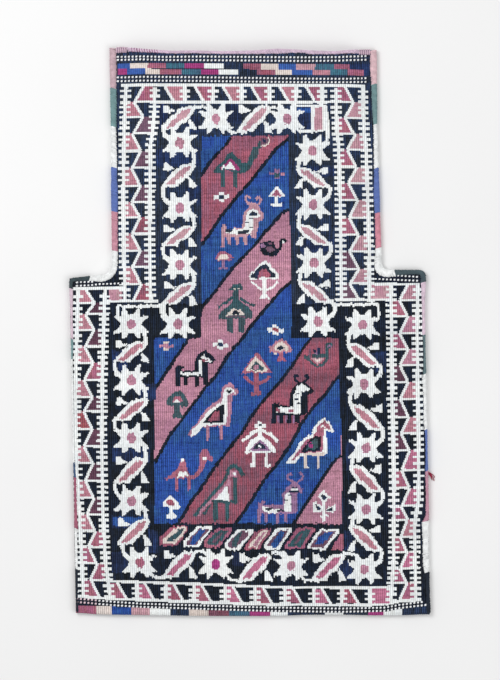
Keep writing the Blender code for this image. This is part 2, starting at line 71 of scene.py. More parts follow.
# How far the cloth leans aside and turns, at the heights of DRIFT_AT from the fold up to the mouth
LEAN = [2.8 * MM, -0.2 * MM, -3.4 * MM, -5.8 * MM]
TILT = [0.011, 0.019, 0.018, -0.0075]
MOUTH_Y = SHOULDER_Y + NECK_LENGTH
FOLD_Y = SHOULDER_Y - BODY_LENGTH
FOLD_RADIUS = FOLD_GAP / 2 + CLOTH_THICKNESS
FOLD_CENTRE_Y = FOLD_Y + FOLD_RADIUS
NECK_LEFT = NECK_SHIFT - NECK_WIDTH / 2
NECK_RIGHT = NECK_SHIFT + NECK_WIDTH / 2
BODY_LEFT = -BODY_WIDTH / 2
BODY_RIGHT = BODY_WIDTH / 2
FRONT_LENGTH = MOUTH_Y - FOLD_CENTRE_Y
FOLD_TURN = math.pi * FOLD_RADIUS
SHEET_LENGTH = 2 * FRONT_LENGTH + FOLD_TURN
DRIFT_AT = [FOLD_CENTRE_Y, (SHOULDER_Y + FOLD_CENTRE_Y) / 2, SHOULDER_Y, MOUTH_Y]
SLOPE_AT = [0.0, 0.3, 0.7, 1.0]
SLOPE_RISE = [0.0, 0.2, 0.8, 1.0]
# Metres that the mouth's edge waves up and the foot sags, at places across the bag
MOUTH_WAVE_AT = [-0.131, -0.122, -0.098, -0.072, -0.050, -0.020, 0.012, 0.033, 0.060, 0.090, 0.110, 0.126]
MOUTH_WAVE = [0.0, 0.0006, -0.0022, -0.0036, -0.0030, -0.0036, -0.0024, -0.0006, -0.0018, -0.0028,
              -0.0006, 0.0]
WAVE_RUN = 9.0 * MM
FOOT_SAG_AT = [-0.177, -0.130, -0.050, 0.010, 0.030, 0.052, 0.095, 0.120, 0.140, 0.165, 0.177]
FOOT_SAG = [0.0, 0.0010, 0.0030, 0.0038, 0.0038, 0.0030, 0.0034, 0.0044, 0.0044, 0.0049, 0.0054]
FOOT_Y = -225.0 * MM
SAG_RUN = 50.0 * MM
PLACE = Vector((-2.6026 * MM, 0.8588 * MM, 0.0))

# The weave: a warp is two columns of the draft wide, and a row is one beat of the weft
COLUMNS = 344
COLUMN = BODY_WIDTH / COLUMNS
ROWS = 571
ROW = (FRONT_LENGTH + FOLD_TURN) / ROWS
RIB_HEIGHT = 0.3 * MM
BEND_ROWS = 14
CHART_X = 250.0
CHART_Y = 330.0
UV_SPAN = 0.6
WEFT = 1.1 * MM
BEAT_ROWS = 5
BACK_ROWS = 44
INSIDE_GRID = (86, 90)

random.seed(7)


def shade(red, green, blue):
    """A colour given as 8-bit display values, as the shader reads it."""
    return (*((value / 255) ** 2.2 for value in (red, green, blue)), 1.0)


# Each dye, the second tone that its uneven bath gave, how much shade is painted into the furrows and how
# strong the streaks
DYES = {
    "night": ((50, 58, 72), (46, 60, 88), 0.80, 1.2),
    "soot": ((36, 42, 51), (33, 42, 59), 0.90, 1.3),
    "midnight": ((42, 51, 76), (44, 60, 100), 0.70, 1.0),
    "ivory": ((241, 244, 243), (231, 236, 238), 0.34, 0.3),
    "cream": ((230, 218, 212), (216, 202, 194), 0.40, 0.4),
    "madder": ((178, 100, 119), (146, 92, 112), 0.55, 1.0),
    "wine": ((166, 92, 110), (126, 84, 100), 0.55, 1.0),
    "pink": ((198, 142, 162), (170, 120, 142), 0.50, 0.9),
    "coral": ((180, 98, 102), (156, 88, 98), 0.55, 0.9),
    "blush": ((196, 140, 154), (178, 120, 134), 0.50, 0.8),
    "rose": ((178, 110, 128), (158, 96, 122), 0.50, 0.9),
    "shell": ((204, 160, 170), (180, 132, 148), 0.50, 0.7),
    "orchid": ((196, 120, 150), (176, 108, 134), 0.50, 0.9),
    "plum": ((122, 94, 114), (108, 78, 96), 0.55, 0.9),
    "maroon": ((110, 74, 92), (90, 62, 78), 0.55, 0.9),
    "magenta": ((168, 68, 130), (150, 64, 112), 0.50, 0.7),
    "blue": ((51, 84, 165), (52, 88, 146), 0.66, 1.1),
    "azure": ((68, 100, 176), (60, 96, 160), 0.55, 0.8),
    "teal": ((74, 106, 132), (66, 112, 130), 0.55, 0.8),
    "green": ((72, 90, 98), (58, 90, 98), 0.60, 1.0),
    "mauve": ((160, 122, 156), (142, 108, 144), 0.50, 0.9),
}
DYE_NAMES = list(DYES)


# Materials

def add_node(tree, kind, **values):
    node = tree.nodes.new(kind)
    for name, value in values.items():
        setattr(node, name, value)
    return node


def feed(tree, socket, source):
    """Sets a socket to a number or links it to another socket."""
    if isinstance(source, bpy.types.NodeSocket):
        tree.links.new(source, socket)
    else:
        socket.default_value = source


def math_node(tree, operation, first, second=None, third=None):
    node = add_node(tree, "ShaderNodeMath", operation=operation)
    for socket, source in zip(node.inputs, (first, second, third)):
        if source is not None:
            feed(tree, socket, source)
    return node.outputs[0]


def noise(tree, place, scale, stretch=(1.0, 1.0, 1.0), detail=2.0):
    """Noise over a place that is in metres, with features of about 1/scale metres, stretched by axis."""
    mapping = add_node(tree, "ShaderNodeMapping")
    feed(tree, mapping.inputs["Vector"], place)
    mapping.inputs["Scale"].default_value = [scale / part for part in stretch]
    texture = add_node(tree, "ShaderNodeTexNoise")
    feed(tree, texture.inputs["Vector"], mapping.outputs[0])
    texture.inputs["Scale"].default_value = 1.0
    texture.inputs["Detail"].default_value = detail
    return texture.outputs["Fac"]


def remap(tree, value, low, high, to_low, to_high):
    node = add_node(tree, "ShaderNodeMapRange")
    for socket, source in zip(node.inputs, (value, low, high, to_low, to_high)):
        feed(tree, socket, source)
    return node.outputs[0]


def scaled_colour(tree, colour, factor):
    node = add_node(tree, "ShaderNodeVectorMath", operation="SCALE")
    feed(tree, node.inputs[0], colour)
    feed(tree, node.inputs["Scale"], factor)
    return node.outputs[0]


def add_noise(tree, tone, texture, amount):
    """A tone with so much of a texture added that its mean stays as it was."""
    return math_node(tree, "MULTIPLY_ADD", math_node(tree, "SUBTRACT", texture, 0.5), amount, tone)


def bump(tree, height, strength, distance):
    node = add_node(tree, "ShaderNodeBump")
    node.inputs["Strength"].default_value = strength
    node.inputs["Distance"].default_value = distance
    feed(tree, node.inputs["Height"], height)
    return node.outputs[0]


VECTOR, COLOUR, NUMBER = "NodeSocketVector", "NodeSocketColor", "NodeSocketFloat"


def new_group(name, inputs):
    """A group of nodes that puts out a colour and a normal."""
    group = bpy.data.node_groups.new(name, "ShaderNodeTree")
    for socket, kind in inputs:
        group.interface.new_socket(socket, in_out="INPUT", socket_type=kind)
    for socket, kind in (("Color", COLOUR), ("Normal", VECTOR)):
        group.interface.new_socket(socket, in_out="OUTPUT", socket_type=kind)
    return group, add_node(group, "NodeGroupInput").outputs, add_node(group, "NodeGroupOutput").inputs


def make_woven_group():
    """Ribbed weft-faced wool: shade painted into the furrows between the warps, streaks of uneven dye along
    the wefts.
    """
    tree, given, out = new_group("woven_wool", [
        ("Place", VECTOR), ("Dye", COLOUR), ("Second", COLOUR), ("Furrow", NUMBER), ("Streak", NUMBER)])
    place = given["Place"]
    parts = add_node(tree, "ShaderNodeSeparateXYZ")
    feed(tree, parts.inputs[0], place)
    warp = math_node(tree, "DIVIDE", parts.outputs["X"], 2 * COLUMN)
    weft = math_node(tree, "DIVIDE", parts.outputs["Y"], WEFT)
    rib = math_node(tree, "PINGPONG", warp, 0.5)
    beat = math_node(tree, "PINGPONG", weft, 0.5)
    # Painted shade: the colour darkens towards the furrows between the warps, where the ribs would shade them
    furrow_shade = remap(tree, rib, 0.0, 0.30, 1.0, 0.0)
    streaks = noise(tree, place, 480.0, (16.0, 1.0, 1.0), 3.0)
    patches = noise(tree, place, 22.0, (2.0, 1.0, 1.0))
    baths = noise(tree, place, 40.0, (2.5, 1.0, 1.0), 3.0)
    threads = noise(tree, place, 420.0, (1.0, 7.0, 1.0))
    grain = noise(tree, place, 640.0, detail=4.0)
    cell = add_node(tree, "ShaderNodeCombineXYZ")
    feed(tree, cell.inputs[0], math_node(tree, "FLOOR", warp))
    feed(tree, cell.inputs[1], math_node(tree, "FLOOR", math_node(tree, "MULTIPLY", weft, 0.5)))
    fleck = add_node(tree, "ShaderNodeTexWhiteNoise", noise_dimensions="2D")
    feed(tree, fleck.inputs["Vector"], cell.outputs[0])
    tone = add_noise(tree, streaks, threads, 1.5)
    tone = add_noise(tree, tone, grain, 1.4)
    tone = math_node(tree, "MULTIPLY", math_node(tree, "SUBTRACT", tone, 0.5), given["Streak"])
    tone = add_noise(tree, tone, patches, 0.35)
    tone = add_noise(tree, tone, fleck.outputs["Value"], 0.16)
    tone = math_node(tree, "ADD", tone, 1.0)
    # How much painted shade each dye takes in the furrows
    dark = math_node(tree, "MULTIPLY", furrow_shade, given["Furrow"])
    tone = math_node(tree, "MULTIPLY", tone, math_node(tree, "SUBTRACT", 1.0, dark))
    bath = add_node(tree, "ShaderNodeMix", data_type="RGBA")
    baths = add_noise(tree, baths, threads, 1.2)
    feed(tree, bath.inputs["Factor"], remap(tree, baths, 0.40, 0.62, 0.0, 1.0))
    feed(tree, bath.inputs["A"], given["Dye"])
    feed(tree, bath.inputs["B"], given["Second"])
    feed(tree, out["Color"], scaled_colour(tree, bath.outputs["Result"], tone))
    height = math_node(tree, "MULTIPLY_ADD", beat, 0.25, math_node(tree, "SQRT", rib))
    height = math_node(tree, "MULTIPLY_ADD", grain, 0.35, height)
    feed(tree, out["Normal"], bump(tree, height, 0.6, 0.5 * MM))
    return tree


def make_yarn_group():
    """Spun wool: fine fibres and a slow change of tone along the yarn."""
    tree, given, out = new_group("spun_wool", [("Place", VECTOR), ("Dye", COLOUR)])
    slow = noise(tree, given["Place"], 260.0)
    fibre = noise(tree, given["Place"], 2200.0)
    tone = add_noise(tree, add_noise(tree, 1.0, slow, 0.8), fibre, 0.45)
    feed(tree, out["Color"], scaled_colour(tree, given["Dye"], tone))
    feed(tree, out["Normal"], bump(tree, fibre, 0.5, 0.3 * MM))
    return tree


WOVEN = make_woven_group()
SPUN = make_yarn_group()
WOOL_FINISH = {"Roughness": 0.92, "Specular IOR Level": 0.15, "Sheen Weight": 0.03, "Sheen Roughness": 0.5}
FLOOR_FINISH = {"Roughness": 0.9, "Specular IOR Level": 0.1}


def new_material(name, finish):
    material = bpy.data.materials.new(name)
    material.use_nodes = True
    shader = material.node_tree.nodes["Principled BSDF"]
    for socket, value in finish.items():
        shader.inputs[socket].default_value = value
    return material, material.node_tree, shader


def lay_wool(tree, shader, group, place, **values):
    """Gives a shader the colour and the normal of a group of nodes, which reads the place and the values."""
    wool = add_node(tree, "ShaderNodeGroup", node_tree=group)
    feed(tree, wool.inputs["Place"], place)
    for socket, value in values.items():
        feed(tree, wool.inputs[socket], value)
    feed(tree, shader.inputs["Base Color"], wool.outputs["Color"])
    feed(tree, shader.inputs["Normal"], wool.outputs["Normal"])


def woven(dye):
    name = "woven_" + dye
    if name in bpy.data.materials:
        return bpy.data.materials[name]
    material, tree, shader = new_material(name, WOOL_FINISH)
    uv = add_node(tree, "ShaderNodeUVMap", uv_map="OFBake")
    place = add_node(tree, "ShaderNodeMapping")
    feed(tree, place.inputs["Vector"], uv.outputs[0])
    place.inputs["Scale"].default_value = (UV_SPAN, UV_SPAN, 1.0)
    place.inputs["Location"].default_value = (-UV_SPAN / 2 - BODY_LEFT, 0.0, 0.0)
    # The third number is the shade painted into the furrows
    first, second, furrow_shade, streak = DYES[dye]
    lay_wool(tree, shader, WOVEN, place.outputs[0], Dye=shade(*first), Second=shade(*second),
             Furrow=furrow_shade, Streak=streak)
    return material


def spun(name, colour):
    material, tree, shader = new_material("spun_" + name, WOOL_FINISH)
    place = add_node(tree, "ShaderNodeTexCoord").outputs["Object"]
    lay_wool(tree, shader, SPUN, place, Dye=shade(*colour))
    return material


# Shape of the bag

def slope(t):
    return np.interp(t, SLOPE_AT, SLOPE_RISE)


def ramp(low, high, t):
    return low + (high - low) * min(max(t, 0.0), 1.0)


def sway(x, y):
    """How far the mouth's edge waves and the foot sags, both only a little way into the cloth."""
    wave = np.interp(x, MOUTH_WAVE_AT, MOUTH_WAVE) * np.clip((y - MOUTH_Y) / WAVE_RUN + 1, 0, 1)
    sag = np.interp(x, FOOT_SAG_AT, FOOT_SAG) * np.clip((FOOT_Y - y) / SAG_RUN, 0, 1)
    return wave - sag


def drift(x, y):
    return x + np.interp(y, DRIFT_AT, LEAN), y + x * np.interp(y, DRIFT_AT, TILT) + sway(x, y)


def set_down(x, y, z):
    """A place on the loom, at a height, as it lies in the bag."""
    return Vector((*drift(x, y), z)) + PLACE


def edge_distance(x, y):
    in_neck = NECK_WIDTH / 2 - abs(x - NECK_SHIFT)
    if y > SHOULDER_Y:
        return in_neck
    return min(BODY_WIDTH / 2 - abs(x), max(in_neck, SHOULDER_Y - y))


def lift(x, y):
    side = EDGE_LIFT * (1 - slope((edge_distance(x, y) - BOUND) / LIFT_RUN))
    mouth = MOUTH_LIFT * (1 - slope((MOUTH_Y - y - BOUND) / LIFT_RUN))
    return max(side, mouth)


def front_inside(x, y):
    loft = ramp(MOUTH_LOFT, BODY_LOFT, (MOUTH_Y - y - BOUND) / MOUTH_RUN)
    loft = ramp(FOLD_GAP, loft, (y - FOLD_CENTRE_Y) / FOLD_RUN)
    seam = EDGE_LIFT + SEAM_GAP
    return CLOTH_THICKNESS + seam + (loft - seam) * slope((edge_distance(x, y) - BOUND) / LOFT_RUN)


def fold_place(x, v, w):
    low = lift(x, FOLD_CENTRE_Y) + CLOTH_THICKNESS
    inner_radius = (front_inside(x, FOLD_CENTRE_Y) - low) / 2
    turn = math.pi * (v - FRONT_LENGTH) / FOLD_TURN
    radius = inner_radius + w
    return FOLD_CENTRE_Y - radius * math.sin(turn), low + inner_radius + radius * math.cos(turn)


def settle(x, v, w):
    """Where a point of the flat cloth lies: x across, v along from the front mouth, w up from its inside."""
    if v <= FRONT_LENGTH:
        y = MOUTH_Y - v
        z = front_inside(x, y) + w
    elif v < FRONT_LENGTH + FOLD_TURN:
        y, z = fold_place(x, v, w)
    else:
        y = FOLD_CENTRE_Y + v - FRONT_LENGTH - FOLD_TURN
        z = lift(x, y) + CLOTH_THICKNESS - w
    return set_down(x, y, z)


# The draft of the pattern

draft = np.full((ROWS, COLUMNS), DYE_NAMES.index("night"), np.int8)


def from_chart(points):
    """Places on the chart as columns and rows of the draft, round the fold where they reach it."""
    spots = np.array(points, float)
    x, y = (spots[:, 0] - CHART_X) * MM, (CHART_Y - spots[:, 1]) * MM
    loom_y = y
    for _ in range(3):
        loom_x = x - np.interp(loom_y, DRIFT_AT, LEAN)
        loom_y = y - loom_x * np.interp(loom_y, DRIFT_AT, TILT) - sway(loom_x, loom_y)
    turn = np.arcsin(np.clip((FOLD_CENTRE_Y - loom_y) / FOLD_RADIUS, 0, 1)) / math.pi
    v = MOUTH_Y - np.maximum(loom_y, FOLD_CENTRE_Y) + turn * FOLD_TURN
    return (loom_x + BODY_WIDTH / 2) / COLUMN, v / ROW


def weave(dye, points):
    """Works a shape into the draft: each column takes the dye between the outline's crossings."""
    u, v = from_chart(points)
    crossings = np.zeros((ROWS + 1, COLUMNS), bool)
    for i in range(len(u)):
        low, high = sorted((u[i - 1], u[i]))
        columns = np.arange(max(math.ceil(low - 0.5), 0), min(math.ceil(high - 0.5), COLUMNS))
        if len(columns) == 0:
            continue
        rows = v[i - 1] + (columns + 0.5 - u[i - 1]) * (v[i] - v[i - 1]) / (u[i] - u[i - 1])
        crossings[np.clip(np.round(rows), 0, ROWS).astype(int), columns] ^= True
    draft[np.logical_xor.accumulate(crossings, axis=0)[:-1]] = DYE_NAMES.index(dye)


def bar(dye, x0, y0, x1, y1):
    weave(dye, [(x0, y0), (x1, y0), (x1, y1), (x0, y1)])


def line(dye, points, width):
    """A line of even width through the points."""
    for (x0, y0), (x1, y1) in zip(points, points[1:]):
        length = math.hypot(x1 - x0, y1 - y0)
        a, b = (y0 - y1) / length * width / 2, (x1 - x0) / length * width / 2
        weave(dye, [(x0 + a, y0 + b), (x1 + a, y1 + b), (x1 - a, y1 - b), (x0 - a, y0 - b)])


def chart_points(text):
    """Places on the chart, each written as its numbers with commas between them."""
    return [tuple(float(number) for number in place.split(",")) for place in text.split()]


def read_chart(text):
    """The shapes of a chart: the dye of each, its width if it is a line, and its places."""
    shapes = []
    for word in text.split():
        if word in DYES:
            shapes.append([word, None, []])
        elif "," in word:
            shapes[-1][2] += chart_points(word)
        else:
            shapes[-1][1] = float(word)
    return shapes


def weave_chart(text, x=0, y=0):
    """Works the shapes of a chart, whose corner is at x, y on the whole chart."""
    for dye, width, points in read_chart(text):
        points = at(x, y, points)
        if width:
            line(dye, points, width)
        elif len(points) == 2:
            bar(dye, *points[0], *points[1])
        else:
            weave(dye, points)


def across_at(points, y):
    """How far across the chart a line through the points is at y."""
    across, down = zip(*points)
    return np.interp(y, down, across)


# The lines of the outer border, and the teeth on the upright ones
SLANT_WIDTH = 2.8
COMB_WIDTH = 3.6
TOOTH_LENGTH = 3.6
TOOTH_WIDTH = 2.7
TOOTH_PITCH = 5.6


def comb(points, ends):
    """A pale upright line through the points, with two or three teeth on both its sides to each cell."""
    line("ivory", points, COMB_WIDTH)
    reach = COMB_WIDTH / 2 + TOOTH_LENGTH
    for top, foot in zip(ends, ends[1:]):
        for y in np.linspace(foot, top, round((foot - top) / TOOTH_PITCH), endpoint=False):
            x = across_at(points, y)
            bar("ivory", x - reach, y - TOOTH_WIDTH / 2, x + reach, y + TOOTH_WIDTH / 2)


def cell(hand, left, right, top, foot, dye):
    """A cell of the zigzag border: a slanting pale line with dye on one side, drawn on 24 parts across."""
    part = (right - left) / 24
    if hand == "back":
        weave(dye, [(left, top), (left + 6 * part, top), (left + 14 * part, foot), (left, foot)])
        line("ivory", [(left + 6.5 * part, top), (left + 15.5 * part, foot)], SLANT_WIDTH)
        bar("ivory", left, foot - 1.2, left + 16 * part, foot + 1)
    else:
        weave(dye, [(left + 17 * part, top), (right, top), (right, foot), (left + 8 * part, foot)])
        line("ivory", [(left + 16 * part, top), (left + 7 * part, foot)], SLANT_WIDTH)
        bar("ivory", left + 7 * part, foot - 1.2, right, foot + 1)


def cells(left_line, right_line, ends, first, dyes):
    """A column of cells between two upright lines, leaning back and forth in turn."""
    hands = ["back", "forth"] if first == "back" else ["forth", "back"]
    for number, (dye, top, foot) in enumerate(zip(dyes.split(), ends, ends[1:])):
        left, right = (across_at(points, (top + foot) / 2) for points in (left_line, right_line))
        cell(hands[number % 2], left + COMB_WIDTH / 2, right - COMB_WIDTH / 2, top, foot, dye)


# The shapes of the main border, measured from the middle of each star and leaf
STAR = chart_points("""
    -9.5,-15.5 -6.5,-15.5 -2.5,-10 2.5,-10 6,-15.5 9,-15.5 9,-7 17,-8.5 17.5,-7 12,-3 10,0 12,4 17.5,8.5
    17,10 9.5,9 8.5,14.5 6,14 2.5,9 -2.5,9 -6.5,14.5 -9.5,14.5 -9.5,9.5 -17.5,10 -17.5,8 -12,3 -10.5,-1
    -17,-6.5 -17,-8.5 -9.5,-7
""")
LEAF = chart_points("""
    -16.5,8.5 -9.5,-0.5 -2,-7.5 3.5,-11 12.5,-12 16.5,-9.5 13.5,-4.5 8,2.5 1.5,6.5 -2,11.5 -14.5,12
    -17.5,11.5
""")
LEAF_HEART = chart_points("""
    -13.3,9.1 -7.2,2.7 -1.2,-3.3 4.8,-8.1 11.8,-9.4 10.2,-5.2 4.2,0.8 -1.7,4.6 -5.7,8.9 -12.3,10
""")
UPPER_HOOK = chart_points("-16,-12.5 -11.5,-12 -9.5,-9.5 -3.5,-7 -7.5,-5 -16,-5")
LOWER_HOOK = chart_points("8.5,2.5 10.5,2 13.5,4.5 16.5,9.5 17.5,11.8 9.5,11.8 9.5,6.5")
HEART = chart_points("-2,-5 2,-5 4.4,-2 4.4,2 2,5 -2,5 -4.4,2 -4.4,-2")
STEM = 3.9


def at(x, y, shape, flip=1, tall=1.0):
    """A shape set down at x, y on the chart, turned over where flip is -1, and so much taller."""
    return [(x + flip * a, y + tall * b) for a, b in shape]


def star(x, y, heart="pink"):
    weave("ivory", at(x, y, STAR))
    weave(heart, at(x, y, HEART))


def leaf(x, y, flip=1, tall=1.0, heart="shell"):
    for dye, shape in (("ivory", LEAF), (heart, LEAF_HEART), ("ivory", UPPER_HOOK), ("ivory", LOWER_HOOK)):
        weave(dye, at(x, y, shape, flip, tall))


def vine(flip, growth, heart):
    """Leaves, each x, y and tall, and stars, each x and y, in turn down a side, joined by a winding stem."""
    for one, two in zip(growth, growth[1:]):
        x, y = two[:2]
        if len(one) == 3:
            start = (one[0] - 15.5 * flip, one[1] + 9.5 * one[2])
            bend = [(x - 17 * flip, y - 18), (x - 16.5 * flip, y - 10), (x - 10 * flip, y - 3)]
            line("ivory", [start, *bend], STEM)
        else:
            end = (x + 13.5 * flip, y - 9.5 * two[2])
            bend = [(one[0] + 8 * flip, one[1] + 2), (one[0] + 13 * flip, one[1] + 9)]
            line("ivory", [*bend, (one[0] + 14.5 * flip, one[1] + 17), end], STEM)
    for part in growth:
        if len(part) == 3:
            leaf(part[0], part[1], flip, part[2], heart)
    for part in growth:
        if len(part) == 2:
            star(*part)


def bricks(line_top, height, dyes, bounds):
    """A row of coloured bricks hung from a line."""
    across, down = zip(*line_top)
    for dye, left, right in zip(dyes.split(), bounds, bounds[1:]):
        one, two = np.interp([left, right], across, down)
        weave(dye, [(left, one), (right, two), (right, two + height), (left, one + height)])


FIELD_LEFT, FIELD_RIGHT = 150, 342
FIELD_TOP, FIELD_FOOT = 130, 526
FIELD_LINE_WIDTH = 3.3
# The lower edge of each slanted stripe, with the stripe's dye, from the foot's right corner upwards
FIELD_LINES = read_chart("""
    blue 341,455 333,462 325,474 315,490 305,505 292,526
    wine 341,375 335,380 325,395 315,405 300,425 297,433 290,445 280,460 270,472 262,483 250,503 234,526
    blue 311,339 305,345 295,361 283,378 270,393 260,405 250,418 245,427 240,435 230,447 222,458 215,467
        208,477 200,490 192,500 184,514 176,526
    pink 293,281 283,288 270,303 260,315 250,327 243,338 240,341 228,355 222,365 215,377 205,388 195,402
        185,415 180,422 170,435 155,462
    blue 291,209 283,212 272,225 262,236 255,245 245,255 235,266 225,278 215,292 205,303 202,308 187,341
        155,389
    madder 289,139 283,143 275,150 268,160 258,172 252,180 243,190 232,203 220,218 210,234 200,246
    blue 231,137 228,143 219,152 212,160 205,170 200,177
""")


def weave_field():
    bar("pink", FIELD_LEFT, FIELD_TOP, FIELD_RIGHT, FIELD_FOOT)
    for dye, _, points in FIELD_LINES:
        right, low = points[0][0], points[-1][1]
        weave(dye, [*points, (FIELD_LEFT, low), (FIELD_LEFT, FIELD_TOP), (right, FIELD_TOP)])
    for _, _, points in FIELD_LINES:
        line("soot", points, FIELD_LINE_WIDTH)


# The dark ground of the border, all round the field
GROUND = """
    night 90,84 400,136
    night 90,130 201.5,304
    night 288.5,130 288.7,180 290,230 291.2,304 400,304 400,130
    soot 60,304 201.5,338
    soot 291.2,304 291.5,338 440,338 440,304
    soot 60,270 125,304
    soot 365,270 440,304
    soot 60,338 154.5,530
    soot 338.5,338 339,372 341,430 342.5,480 342.5,530 440,530 440,338
    soot 60,523.5 440,640
"""
